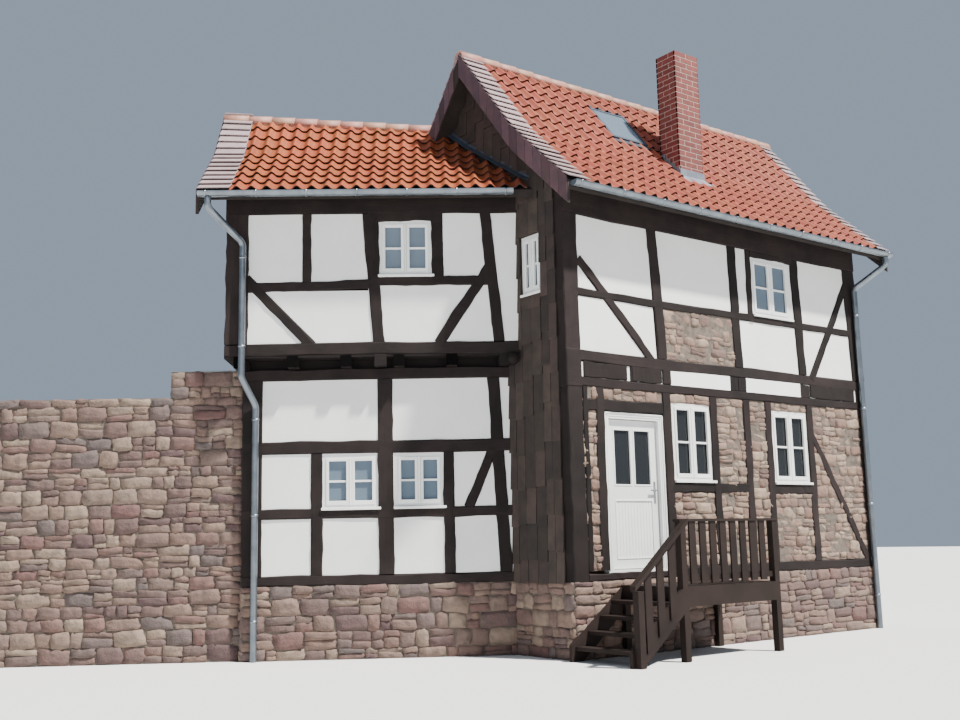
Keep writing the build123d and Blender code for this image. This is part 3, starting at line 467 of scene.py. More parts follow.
COLOR = "NodeSocketColor"
FLOAT = "NodeSocketFloat"
socket_kinds = {type(None): "NodeSocketVector", tuple: COLOR, float: FLOAT}
grey = (0.5, 0.5, 0.5, 1)


def put(tree, kind, inputs=None, **settings):
    """Add a node with its settings, its values and what feeds it."""
    made = tree.nodes.new(kind)
    for key, value in settings.items():
        setattr(made, key, value)
    for key, value in (inputs or {}).items():
        if isinstance(value, bpy.types.NodeSocket):
            tree.links.new(value, made.inputs[key])
        else:
            made.inputs[key].default_value = value
    return made


def noise(tree, vector, scale, detail=2.0, roughness=0.5):
    inputs = {"Vector": vector, "Scale": scale, "Detail": detail, "Roughness": roughness}
    return put(tree, "ShaderNodeTexNoise", inputs).outputs["Fac"]


def blend(tree, share, first, second):
    """A mix of two colours."""
    return put(tree, "ShaderNodeMix", {0: share, 6: first, 7: second}, data_type="RGBA").outputs[2]


def reckon(tree, operation, *values):
    """The result of a math node."""
    return put(tree, "ShaderNodeMath", dict(enumerate(values)), operation=operation).outputs[0]


def group(name, output_kind, **inputs):
    """An empty node group: its tree, its inputs, whose defaults tell their kinds, and its one output."""
    tree = bpy.data.node_groups.new(name, "ShaderNodeTree")
    for label, value in inputs.items():
        socket = tree.interface.new_socket(label, in_out="INPUT", socket_type=socket_kinds[type(value)])
        if value is not None:
            socket.default_value = value
    tree.interface.new_socket("Result", in_out="OUTPUT", socket_type=output_kind)
    return tree, tree.nodes.new("NodeGroupInput").outputs, tree.nodes.new("NodeGroupOutput").inputs["Result"]


def use(tree, name, **inputs):
    """The result of a shared group."""
    return put(tree, "ShaderNodeGroup", inputs, node_tree=bpy.data.node_groups[name]).outputs["Result"]


def make_groups():
    """The effects that several finishes share."""
    tree, inner, out = group("Mottle", COLOR, Vector=None, First=grey, Second=grey, Scale=5.0, Low=0.35,
                             High=0.65)
    cloud = noise(tree, inner["Vector"], inner["Scale"], 6.0, 0.6)
    inputs = {"Value": cloud, "From Min": inner["Low"], "From Max": inner["High"]}
    mask = put(tree, "ShaderNodeMapRange", inputs).outputs["Result"]
    tree.links.new(blend(tree, mask, inner["First"], inner["Second"]), out)

    tree, inner, out = group("Piece tone", COLOR, Color=grey, Spread=0.4, Hue=0.02)
    tone = put(tree, "ShaderNodeAttribute", attribute_name="tone").outputs["Fac"]
    spread = reckon(tree, "MULTIPLY_ADD", reckon(tree, "SUBTRACT", tone, 0.5), inner["Spread"], 1.0)
    swing = reckon(tree, "SINE", reckon(tree, "MULTIPLY", tone, 57.0))
    hue = reckon(tree, "MULTIPLY_ADD", swing, inner["Hue"], 0.5)
    shift = put(tree, "ShaderNodeHueSaturation", {"Color": inner["Color"], "Value": spread, "Hue": hue})
    tree.links.new(shift.outputs["Color"], out)

    tree, inner, out = group("Grain", FLOAT, Fine=60.0, Long=1.5)
    flat = put(tree, "ShaderNodeUVMap", uv_map="grain").outputs["UV"]
    scale = put(tree, "ShaderNodeCombineXYZ", {"X": inner["Long"], "Y": inner["Fine"], "Z": 1.0}).outputs[0]
    run = put(tree, "ShaderNodeVectorMath", {0: flat, 1: scale}, operation="MULTIPLY").outputs[0]
    tree.links.new(noise(tree, run, 1.0, 5.0, 0.65), out)

    tree, inner, out = group("Grit", FLOAT, Vector=None, Scale=60.0, Broad=6.0)
    fine = noise(tree, inner["Vector"], inner["Scale"], 4.0)
    broad = noise(tree, inner["Vector"], inner["Broad"])
    tree.links.new(reckon(tree, "MULTIPLY_ADD", broad, 2.0, fine), out)


def finish(name, roughness, metallic=0.0, gloss=0.5):
    """A new material with its tree, its shader and the place coordinates."""
    material = bpy.data.materials.new(name)
    material.use_nodes = True
    tree = material.node_tree
    shader = tree.nodes["Principled BSDF"]
    shader.inputs["Roughness"].default_value = roughness
    shader.inputs["Metallic"].default_value = metallic
    shader.inputs["Specular IOR Level"].default_value = gloss
    return material, tree, shader, put(tree, "ShaderNodeTexCoord").outputs["Object"]


def cover(tree, shader, colour, height, strength, distance=0.01):
    """Give a shader its colour and its relief."""
    bump = put(tree, "ShaderNodeBump", {"Height": height, "Strength": strength, "Distance": distance})
    tree.links.new(bump.outputs["Normal"], shader.inputs["Normal"])
    tree.links.new(colour, shader.inputs["Base Color"])


def rgba(colour):
    return (*colour[:3], 1)


def wood(name, dark, light, spread):
    """Streaked timbers and boards, worn to their darker tone in places."""
    material, tree, shader, place = finish(name, 0.75, gloss=0.2)
    streak = use(tree, "Grain", Fine=70.0, Long=1.8)
    base = blend(tree, streak, rgba(dark), rgba(light))
    worn = use(tree, "Mottle", Vector=place, First=base, Second=rgba(dark), Scale=2.2, Low=0.4, High=0.75)
    cover(tree, shader, use(tree, "Piece tone", Color=worn, Spread=spread, Hue=0.01), streak, 0.5, 0.006)
    return material


# Near-black painted shade for the lap ends and undersides of tiles.
painted_lap_shade = (0.03, 0.008, 0.006)


def plain(name, first, second, scale, roughness, metallic=0.0, spread=0.2, hue=0.012, grit=0.2, gloss=0.5,
          ends=False):
    """A mottled finish for stone, plaster, clay, metal and paint; with ends, the tiles' lap ends and
    undersides are painted near-black as shade.
    """
    material, tree, shader, place = finish(name, roughness, metallic, gloss)
    mottled = use(tree, "Mottle", Vector=place, First=rgba(first), Second=rgba(second), Scale=scale)
    colour = use(tree, "Piece tone", Color=mottled, Spread=spread, Hue=hue)
    # Faces turned downwards, the tiles' lap ends and undersides, take painted shade.
    if ends:
        facing = put(tree, "ShaderNodeSeparateXYZ", {0: put(tree, "ShaderNodeNewGeometry").outputs["Normal"]})
        under = reckon(tree, "LESS_THAN", facing.outputs["Z"], -0.25)
        colour = blend(tree, under, colour, rgba(painted_lap_shade))
    cover(tree, shader, colour, use(tree, "Grit", Vector=place, Scale=60.0, Broad=scale), grit)
    return material


def palette(name, *colours):
    """A finish whose pieces take their colour from a short palette, each one mottled."""
    material, tree, shader, place = finish(name, 0.85)
    tone = put(tree, "ShaderNodeAttribute", attribute_name="tone").outputs["Fac"]
    ramp = put(tree, "ShaderNodeValToRGB", {"Fac": tone})
    elements = ramp.color_ramp.elements
    while len(elements) < len(colours):
        elements.new(len(elements) / len(colours))
    for index, colour in enumerate(colours):
        elements[index].position = index / (len(colours) - 1)
        elements[index].color = rgba(colour)
    own = ramp.outputs["Color"]
    darker = blend(tree, 0.55, own, (0.05, 0.04, 0.035, 1))
    mottled = use(tree, "Mottle", Vector=place, First=own, Second=darker, Scale=9.0, Low=0.42, High=0.72)
    cover(tree, shader, mottled, use(tree, "Grit", Vector=place, Scale=55.0, Broad=12.0), 0.5, 0.02)
    return material


def glass(name):
    """Window glass, with the right wing's lower storey painted darker as shade."""
    material, tree, shader, place = finish(name, 0.06)
    shader.inputs["Transmission Weight"].default_value = 0.25
    spot = put(tree, "ShaderNodeSeparateXYZ", {0: place}).outputs
    # The lower windows of the right wing are painted near-black as shade.
    right = reckon(tree, "GREATER_THAN", spot["X"], 0.2)
    low = reckon(tree, "LESS_THAN", spot["Z"], 3.6)
    both = reckon(tree, "MULTIPLY", right, low)
    colour = blend(tree, both, (0.15, 0.20, 0.26, 1), (0.02, 0.022, 0.024, 1))
    cover(tree, shader, colour, noise(tree, place, 2.5), 0.08)
    return material


# The frame nodes that get each finish
coats = {
    "mortar": "town_wall plinth",
    "panel_mortar": "right_lower_infill",
    "brick_mortar": "chimney",
    "plaster": "left_lower_infill left_upper_infill left_end_infill left_rear_infill right_upper_infill "
               "right_rear_infill party_wall",
    "floor": "ground_floor attic_floor",
    "slab": "left_front_roof left_rear_roof right_front_roof right_rear_roof verge_boards gable_wall",
    "zinc": "gutters downpipes",
    "slate_blue": "roof_window_frame",
    "paint": "window_frames door_frame door_leaf",
    "glass": "window_glass door_glass",
    "steel": "door_handle frame_hinges leaf_hinges",
    "stair": "landing_deck stair_flight stair_balustrade",
    "timber": "left_lower_frame left_upper_frame left_end_frame left_rear_frame entrance_frame "
              "right_lower_frame right_storey_beams right_upper_frame right_rear_frame left_upper_floor "
              "right_upper_floor",
    "tile": "ridge_tiles",
}


class HOUSE_OT_finishes(bpy.types.Operator):
    """Make the finishes and give each frame node its own"""

    bl_idname = "house.finishes"
    bl_label = "Finishes"

    def execute(self, context):
        colours = context.scene.house_colours
        # Fired tiles take painted shade on their lap ends and undersides.
        fired = {"spread": 0.22, "hue": 0.004, "grit": 0.12, "gloss": 0.3, "ends": True}
        make_groups()
        finishes.update({
            "timber": wood("Tarred timber", colours.timber, (0.026, 0.017, 0.016), 0.7),
            "stair": wood("Stained stair boards", (0.010, 0.006, 0.005), (0.036, 0.021, 0.017), 0.5),
            "floor": wood("Floor boards", (0.10, 0.055, 0.03), (0.22, 0.13, 0.07), 0.4),
            "plaster": plain("Limewashed plaster", colours.plaster, (0.82, 0.82, 0.81), 1.6, 0.9, grit=0.12),
            "tile": plain("Clay tiles", colours.tile, (0.235, 0.055, 0.031), 7.0, 0.6, **fired),
            "left_tile": plain("Newer clay tiles", (0.31, 0.073, 0.023), (0.25, 0.057, 0.019), 7.0, 0.6,
                               **fired),
            # Near-black painted shade for the joist ends under the left jetty.
            "shade": plain("Joist ends painted in shade", (0.003, 0.0025, 0.0025), (0.002, 0.002, 0.002), 9.0, 0.95,
                           gloss=0.05),
            "ridge": plain("Ridge tiles", (0.42, 0.215, 0.155), (0.34, 0.165, 0.12), 8.0, 0.6, grit=0.12),
            "slate": plain("Verge slates", (0.34, 0.26, 0.26), (0.27, 0.205, 0.215), 6.0, 0.55, spread=0.3),
            "dark_slate": plain("Barge slates", (0.072, 0.036, 0.043), (0.048, 0.026, 0.032), 6.0, 0.5,
                                spread=0.8),
            "slab": plain("Stone slabs", (0.040, 0.025, 0.020), (0.021, 0.0145, 0.012), 5.0, 0.8,
                          spread=0.9, grit=0.4),
            "brick": plain("Chimney bricks", colours.brick, (0.125, 0.031, 0.026), 14.0, 0.8,
                           spread=0.35, hue=0.004, grit=0.3),
            "brick_mortar": plain("Chimney mortar", (0.42, 0.31, 0.27), (0.34, 0.25, 0.22), 12.0, 0.95),
            "mortar": plain("Lime mortar", (0.165, 0.137, 0.11), (0.10, 0.082, 0.067), 12.0, 0.95, grit=0.5),
            "stone": palette("Rubble stones", (0.125, 0.062, 0.056), (0.19, 0.125, 0.095),
                             (0.088, 0.050, 0.050), (0.24, 0.175, 0.13), (0.14, 0.082, 0.070),
                             (0.105, 0.080, 0.075)),
            "panel_stone": palette("Panel stones", (0.25, 0.165, 0.12), (0.17, 0.10, 0.078),
                                   (0.31, 0.225, 0.165), (0.12, 0.072, 0.060)),
            "panel_mortar": plain("Panel mortar", (0.15, 0.122, 0.098), (0.085, 0.068, 0.055), 12.0, 0.95,
                                  grit=0.5),
            "zinc": plain("Zinc", (0.22, 0.25, 0.28), (0.15, 0.175, 0.20), 5.0, 0.33, 0.8, grit=0.03),
            "lead": plain("Lead", (0.20, 0.23, 0.26), (0.12, 0.14, 0.17), 5.0, 0.6, 0.3, grit=0.1),
            # Also used as painted shade on the gable's lead strips.
            "slate_blue": plain("Roof window frame", (0.045, 0.06, 0.085), (0.035, 0.045, 0.065), 5.0, 0.5,
                                0.2, grit=0.05),
            "paint": plain("White paint", (0.83, 0.84, 0.83), (0.76, 0.77, 0.76), 3.0, 0.35, grit=0.03),
            "steel": plain("Steel", (0.45, 0.45, 0.45), (0.35, 0.35, 0.36), 9.0, 0.35, 0.9, grit=0.02),
            "glass": glass("Window glass"),
        })
        for name, nodes in coats.items():
            for node in nodes.split():
                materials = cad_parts[node].data.materials
                materials.clear()
                materials.append(finishes[name])
        return {"FINISHED"}


# Timber frames


class HOUSE_OT_left_timbers(bpy.types.Operator):
    """Hewn timbers of the left wing's front"""

    bl_idname = "house.left_timbers"
    bl_label = "Left wing timbers"

    def execute(self, context):
        bottom, rail, top = left_rails
        raise_frame("left_lower_timbers", "left_lower_frame", (LEFT, (
            *[(beam, -left_length, 0, z0, z1) for z0, z1 in (bottom, (1.79, 1.92), rail, top)],
            (stud, -left_length, floor_top, left_plate, 0.26), (stud, -2.68, floor_top, 2.64),
            (post, -1.79, -1.80, floor_top, left_plate, 0.2), (stud, -0.93, floor_top, 2.64, 0.14),
            (post, -0.21, -0.32, floor_top, left_plate, 0.16), (brace, -0.27, 2.68, -0.60, 1.90))))
        raise_frame("left_upper_timbers", "left_upper_frame", (LEFT_UPPER, (
            (beam, -3.8, 0.13, 3.93, left_sill), (beam, -3.8, 0.13, left_head, 6.14),
            (stud, -3.8, left_sill, left_head, 0.3), (stud, -2.78, 4.86, left_head, 0.115),
            (post, -1.84, -1.975, left_sill, left_head), (stud, -1.045, 4.88, left_head, 0.155),
            (post, -0.235, -0.386, left_sill, left_head, 0.145), (hewn, -3.5, 4.85, -1.84, 4.895, 0.125),
            (beam, -1.85, -0.25, 4.865, 4.99), (brace, -3.53, 4.98, -2.64, 4.06, {"bow": 0.015}),
            (brace, -0.26, 5.11, -0.96, 4.06, 0.14, {"bow": 0.015}),
            (board, -1.83, -1.665, -0.006, 0.12, left_plate_top, 3.935, 0.008),
            (beam, -1.90, -1.00, 5.755, 5.905, {"depth": 0.05}),
            (stud, -1.85, 5.0, left_head, 0.095, {"depth": 0.05}), (beam_end, 0.02, 0.03, 3.85))))
        # Thin near-black caps paint shade over the joist ends under the jetty.
        caps = Heap()
        for x in (-3.67, -2.97, -2.27, -1.57, -0.87):
            board(caps, LEFT_UPPER, x - 0.004, x + 0.144, -0.003, 0.006, 3.77, 3.925, 0.002)
        caps.build("joist_end_shade_caps", "shade")
        return {"FINISHED"}


class HOUSE_OT_right_timbers(bpy.types.Operator):
    """Hewn timbers of the right wing's front"""

    bl_idname = "house.right_timbers"
    bl_label = "Right wing timbers"

    def execute(self, context):
        raise_frame("right_upper_timbers", "right_upper_frame", (HOUSE, (
            (beam, 0, right_length, right_head, 6.05), (stud, 0, right_sill, right_head, 0.25),
            (post, 1.64, 1.555, right_sill, right_head, 0.18, {"bow": 0.02}),
            (post, 3.23, 3.21, right_sill, right_head, 0.18), (stud, 3.605, 4.56, right_head, 0.115),
            (post, 4.70, 4.65, right_sill, right_head, 0.19),
            (post, 6.06, 5.99, right_sill, right_head, 0.31), (beam, 0.2, right_length, 4.56, 4.665),
            (brace, 0.26, 5.06, 1.56, 3.80, {"bow": 0.01}), (brace, 6.06, 5.40, 5.00, 3.79, {"bow": 0.01}),
            (beam, 3.72, 4.70, 5.555, right_head, {"depth": 0.05}))))
        fillings = ((0.29, 1.05), (1.15, 1.70), (1.73, 1.88), (3.10, 3.26), (3.28, 3.45), (4.70, 4.92),
                    (4.95, 6.05), (6.12, 6.30))
        raise_frame("storey_beams", "right_storey_beams", (HOUSE, (
            (beam, 0, right_length, right_plate, 3.505),
            (beam, 0, right_length, 3.70, right_sill, {"bow": 0.012}),
            *[(beam, x0, x1, 3.50, 3.705, {"depth": 0.04}) for x0, x1 in fillings],
            (board, -0.012, 0.25, -0.012, 0.17, 3.37, 3.86, 0.012))))
        band = Heap()
        boards(band, HOUSE, -0.003, 0.012, ((1.88, 3.10, 3.50, 3.705), (3.45, 4.70, 3.50, 3.705)), 0.002)
        band.build("band_plaster", "plaster")
        raise_frame("entrance_timbers", "entrance_frame", (HOUSE, (
            (stud, 0, plinth_top, right_plate, 0.25), (beam, 0.25, 1.70, plinth_top, floor_top - 0.04),
            (beam, 0.25, 1.70, 3.08, 3.23), (stud, 0.47, floor_top, right_plate),
            (stud, 0.25, floor_top, right_plate, 0.09, {"depth": 0.05}))))
        raise_frame("right_lower_timbers", "right_lower_frame", (HOUSE, (
            (beam, 1.70, right_length, plinth_top, floor_top), (stud, 1.70, floor_top, right_plate, 0.16),
            (post, 2.65, 2.64, floor_top, right_plate), (post, 3.35, 3.345, floor_top, right_plate),
            (stud, 3.83, floor_top, right_plate, 0.145), (stud, 4.80, floor_top, right_plate),
            (stud, 6.14, floor_top, right_plate, 0.16), (beam, 1.70, 3.40, 2.045, 2.175),
            (beam, 3.90, 4.85, 2.045, 2.175), (brace, 4.90, 2.95, 6.15, 1.01))))
        return {"FINISHED"}


class HOUSE_OT_hidden_timbers(bpy.types.Operator):
    """Hewn timbers of the end wall and the rear walls"""

    bl_idname = "house.hidden_timbers"
    bl_label = "End and rear timbers"

    def execute(self, context):
        lower_end = left_depth - 2 * wall_depth
        upper_end = left_depth + jetty - 2 * wall_depth
        half = lower_end / 2
        raise_frame("left_end_timbers", "left_end_frame", (LEFT_END_LOWER, (
            *[(beam, 0, lower_end, z0, z1) for z0, z1 in left_rails],
            *[(stud, x, floor_top, left_plate) for x in (0, half, lower_end - 0.15)])), (LEFT_END_UPPER, (
                (beam, 0, upper_end, 3.93, left_sill), (beam, 0, upper_end, 4.83, 4.935),
                (beam, 0, upper_end, left_head, 6.01), (stud, 0, left_sill, left_head),
                (stud, half, left_sill, 7.5), (stud, upper_end - 0.15, left_sill, left_head),
                (brace, half + 0.15, 6.6, upper_end - 0.35, 5.99), (brace, half, 6.6, 0.35, 5.99),
                (brace, 0.1, 4.9, 0.9, 4.06), (brace, upper_end - 0.1, 4.9, upper_end - 0.9, 4.06))))

        lower_run = rear_overlap + left_length
        upper_run = lower_run + side_jetty
        rows = [(beam, rear_start, lower_run, z0, z1) for z0, z1 in left_rails]
        rows += [(beam, rear_start, upper_run, 3.93, left_sill), (beam, rear_start, upper_run, 4.865, 4.97),
                 (beam, rear_start, upper_run, left_head, 6.22),
                 (stud, lower_run - 0.26, floor_top, left_plate, 0.26),
                 (stud, upper_run - 0.3, left_sill, left_head, 0.3)]
        for x in (1.75, 2.6, 3.45, 4.3):
            rows += [(stud, x, floor_top, left_plate), (stud, x, left_sill, left_head)]
        raise_frame("left_rear_timbers", "left_rear_frame", (LEFT_REAR, rows))

        rows = [(beam, 0, right_length - 0.72, z0, z1) for z0, z1 in (
            (plinth_top, floor_top), (right_plate, 3.505), (3.70, right_sill), (4.56, 4.665), (2.045, 2.15),
            (right_head, 6.05))]
        for x in (0, 0.95, 1.85, 2.7, 3.45, 4.35, 5.43):
            rows += [(stud, x, floor_top, right_plate), (stud, x, right_sill, right_head)]
        raise_frame("right_rear_timbers", "right_rear_frame", (RIGHT_REAR, rows))
        return {"FINISHED"}


# Roofs

left_verge = -4.10
left_reach = 2.4
right_verges = (-0.28, 6.58)
right_roof = ((-0.45, 5.90), (0.65, 6.926), (1.80, 8.38))
left_roof = ((-0.52, 6.08), (0.62, 6.971), (1.30, 7.80))
ridge_fall = 0.23
behind_fronts = 1.6
gable_cos = math.cos(math.radians(wing_angle))
gable_sin = math.sin(math.radians(wing_angle))
chimney = (2.74, 3.24, 0.40, 0.78)
chimney_top = 8.73
chimney_foot = 6.3
roof_window = (1.88, 2.61, 0.96, 1.45)


def right_section(x, rear):
    """The right roof's deck from eave to ridge; it is the same all along the wing."""
    return [(right_depth - y if rear else y, z) for y, z in right_roof]


def left_section(x, rear):
    """The left roof's deck at a place along its eave; its ridge sinks towards the right wing."""
    eave, kink, (y, z) = [(left_depth - y if rear else y, z) for y, z in left_roof]
    return [eave, kink, (y, z - (x - left_verge) * ridge_fall / left_length)]


def height_on(section, y):
    """Deck height at a place across a section."""
    for (y0, z0), (y1, z1) in zip(section, section[1:]):
        if min(y0, y1) <= y <= max(y0, y1):
            return z0 + (y - y0) * (z1 - z0) / (y1 - y0)
    return 0.0


def right_height(x, y):
    """The right roof's deck over a place in the house's plan, or 0 outside it."""
    if not right_verges[0] <= x <= right_verges[1]:
        return 0.0
    return max(height_on(right_section(x, rear), y) for rear in (False, True))


def left_height(x, y):
    """The left roof's deck over a place in the house's plan, or 0 outside it."""
    wing_x = x * gable_cos - (y - junction) * gable_sin
    wing_y = x * gable_sin + (y - junction) * gable_cos
    if not left_verge <= wing_x <= left_reach:
        return 0.0
    return max(height_on(left_section(wing_x, rear), wing_y) for rear in (False, True))


def under_other(wing, place, clearance=0.0):
    """Whether a place in one wing's frame lies under the other wing's roof."""
    spot = HOUSE.inverted() @ wing @ place
    other = left_height if wing == HOUSE else right_height
    return spot.y > behind_fronts and other(spot.x, spot.y) > spot.z + clearance


def on_slope(section, share):
    """The point at a share of a slope's length from eave to ridge."""
    runs = [math.dist(a, b) for a, b in zip(section, section[1:])]
    left = share * sum(runs)
    for index, run in enumerate(runs):
        if left <= run or index == len(runs) - 1:
            part = left / run
            start, end = section[index], section[index + 1]
            return start[0] + part * (end[0] - start[0]), start[1] + part * (end[1] - start[1])
        left -= run


class Slope:
    """One roof slope that tiles and slates are laid on."""

    def __init__(self, wing, section_at, rear, courses):
        self.wing = wing
        self.section_at = section_at
        self.rear = rear
        self.courses = courses

    def point(self, x, course):
        """A place on the deck in the wing's own frame."""
        return Vector((x, *on_slope(self.section_at(x, self.rear), course / self.courses)))

    def place(self, x, course, width):
        """The local frame of a piece whose lower edge is at a course: X along the eave, Y up the slope."""
        low = self.point(x, course)
        rise = self.point(x, course + 1) - low
        half = -width / 2 if self.rear else width / 2
        along = (self.point(x + half, course) - self.point(x - half, course)).normalized()
        up = rise.normalized()
        return axes(along, up, along.cross(up).normalized(), low), rise.length


lap_lift = 0.036
tile_base = 0.003
tile_middle = Vector((0, 0.14, 0))
tile_reach = 0.25
tile_run = 1.2
slate_run = 1.6
slate_thickness = 0.014
slate_base = 0.062
slate_lap = 0.03


def trim_to_window(points, place):
    """Keep a tile of the right roof clear of the roof window; nothing is left of one that lies under it."""
    x0, x1, y0, y1 = roof_window
    middle = place @ tile_middle
    beside = y0 < middle.y < y1
    if x0 < middle.x < x1 and beside:
        return None
    rise = place[1][1]
    near = x0 - 0.04 < middle.x < x1 + 0.04 and y0 - tile_reach < middle.y < y1 + tile_reach
    if near and middle.y <= y0:
        points[:, 1] = np.minimum(points[:, 1], (y0 - place[1][3]) / rise)
    elif near and middle.y >= y1:
        points[:, 1] = np.maximum(points[:, 1], (y1 - place[1][3]) / rise)
    elif beside and x0 - 0.12 < middle.x < x0:
        points[:, 0] = np.minimum(points[:, 0], x0 - place[0][3])
    elif beside and x1 < middle.x < x1 + 0.12:
        points[:, 0] = np.maximum(points[:, 0], x1 - place[0][3])
    return points


def trim_right(points, place):
    """Leave out tiles of the right roof under the left roof, in the chimney and at the roof window."""
    middle = place @ tile_middle
    x0, x1, y0, y1 = chimney
    if x0 < middle.x < x1 and y0 - 0.05 < middle.y < y1:
        return None
    covered = left_height(middle.x, middle.y) > middle.z + 0.02
    if middle.x < 3.0 and middle.y > behind_fronts and covered:
        return None
    return trim_to_window(points, place)


def trim_left(points, place):
    """Cut the left roof's tiles at the gable wall and where they run into the right roof."""
    whole = HOUSE.inverted() @ LEFT @ place
    middle = whole @ tile_middle
    if middle.x > -0.01 and right_height(middle.x, middle.y) > middle.z - 0.02:
        return None
    reach = whole[0][0]
    if reach > 0.3 and right_height(0.0, middle.y) > middle.z:
        inside = points @ np.array(whole.to_3x3()).T
        over = inside[:, 0] + whole[0][3] + 0.006
        points[:, 0] -= np.maximum(over, 0) / reach
    return points


def lay_tiles(heap, slope, tile, x0, x1, columns, trim):
    """Rows of pantiles over a slope; each one laps the one below."""
    width = (x1 - x0) / columns
    for course in range(slope.courses):
        for column in range(columns):
            place, exposure = slope.place(x0 + (column + 0.5) * width, course, width)
            points = tile.points.copy()
            points[:, 2] += lap_lift * (1 - points[:, 1]) + tile_base
            length = exposure - 0.05 if course == slope.courses - 1 else exposure * tile_run
            points[:, 0] *= width * 1.02
            points[:, 1] = points[:, 1] * length - 0.02
            points[:, 2] += (dice.random() - 0.5) * 0.003
            points[:, 1] += (dice.random() - 0.5) * 0.006
            points = trim(points, place)
            if points is not None:
                heap.add(tile, slope.wing @ place, points)


def lay_slates(heap, wing, section_at, rear, x0, x1, courses):
    """Slates that run up a verge, each lapping the one below."""
    slope = Slope(wing, section_at, rear, courses)
    for course in range(courses):
        place, exposure = slope.place((x0 + x1) / 2, course, x1 - x0)
        if under_other(wing, place @ Vector((0, exposure / 2, 0)), 0.02):
            continue
        points = stretched(block, x1 - x0, exposure * slate_run, slate_thickness, 0.002)
        points[:, 1] += exposure * slate_run / 2
        points[:, 2] += slate_base - points[:, 1] * slate_lap / exposure
        points[:, 2] += (dice.random() - 0.5) * 0.004
        points[:, 0] += (dice.random() - 0.5) * 0.006
        heap.add(block, wing @ place, points)


def run_of_ridge(heap, wing, start, end, count):
    """Half-round tiles along a ridge, each lapping the next, on a bed of mortar."""
    start, end = Vector(start), Vector(end)
    step = (end - start) / count
    along = step.normalized()
    side = Vector((0, 0, 1)).cross(along).normalized()
    for index in range(count):
        points = ridge_tile.points.copy()
        points[:, 0] *= step.length * 1.12 / ridge_length
        points += (0, 0, (dice.random() - 0.5) * 0.006)
        place = axes(along, side, along.cross(side), start + step * (index + 0.5))
        heap.add(ridge_tile, wing @ place, points)
    bed = Vector((0, 0, -0.045))
    strap(heap, wing, start + bed, end + bed, (0, 0, 1), 0.17, 0.09, tone=0.5)


class HOUSE_OT_roofs(bpy.types.Operator):
    """Pantiles, verge slates and ridge tiles on both wings"""

    bl_idname = "house.roofs"
    bl_label = "Roof coverings"

    def execute(self, context):
        tile = make_pantile(context.scene.house_roof.wave)
        for rear in (False, True):
            side = "rear" if rear else "front"
            tiles = Heap()
            lay_tiles(tiles, Slope(HOUSE, right_section, rear, 12), tile, 0.067, 6.30, 30, trim_right)
            tiles.build("right_tiles_" + side, "tile")
            slates = Heap()
            lay_slates(slates, HOUSE, right_section, rear, -0.29, 0.075, 22)
            lay_slates(slates, HOUSE, right_section, rear, 6.29, 6.59, 22)
            slates.build("right_verge_slates_" + side, "slate")

            left = Slope(LEFT, left_section, rear, 9)
            tiles = Heap()
            lay_tiles(tiles, left, tile, -3.70, 0.24, 20, trim_left)
            if rear:
                lay_tiles(tiles, left, tile, 0.24, 1.225, 5, trim_left)
            tiles.build("left_tiles_" + side, "left_tile")
            slates = Heap()
            lay_slates(slates, LEFT, left_section, rear, -4.12, -3.70, 14)
            slates.build("left_verge_slates_" + side, "slate")

        ridges = Heap()
        run_of_ridge(ridges, HOUSE, (-0.27, 1.8, 8.36), (6.57, 1.8, 8.36), 21)
        run_of_ridge(ridges, LEFT, (-4.12, 1.3, 7.775), (-0.37, 1.3, 7.534), 11)
        ridges.build("ridge_hoods", "ridge", replaces=("ridge_tiles",))
        return {"FINISHED"}


def hang_slates(heap, wing, section, x, count, outward):
    """Slates hung side by side on a verge board's outer face, along one slope."""
    start, end = section[0][0], section[-1][0]
    width = abs(end - start) / count
    for index in range(count):
        low = start + (end - start) * index / count
        high = start + (end - start) * (index + 1) / count
        z0, z1 = height_on(section, low), height_on(section, high)
        spot = Vector((x, (low + high) / 2, (z0 + z1) / 2))
        if under_other(wing, spot):
            continue
        points = stretched(block, 0.011, width - 0.013, 0.345, 0.002)
        points[:, 2] += points[:, 1] * (z1 - z0) / (high - low) - 0.13
        points[:, 0] += outward * (points[:, 1] * 0.05 + 0.008)
        heap.add(block, wing @ Matrix.Translation(spot), points)


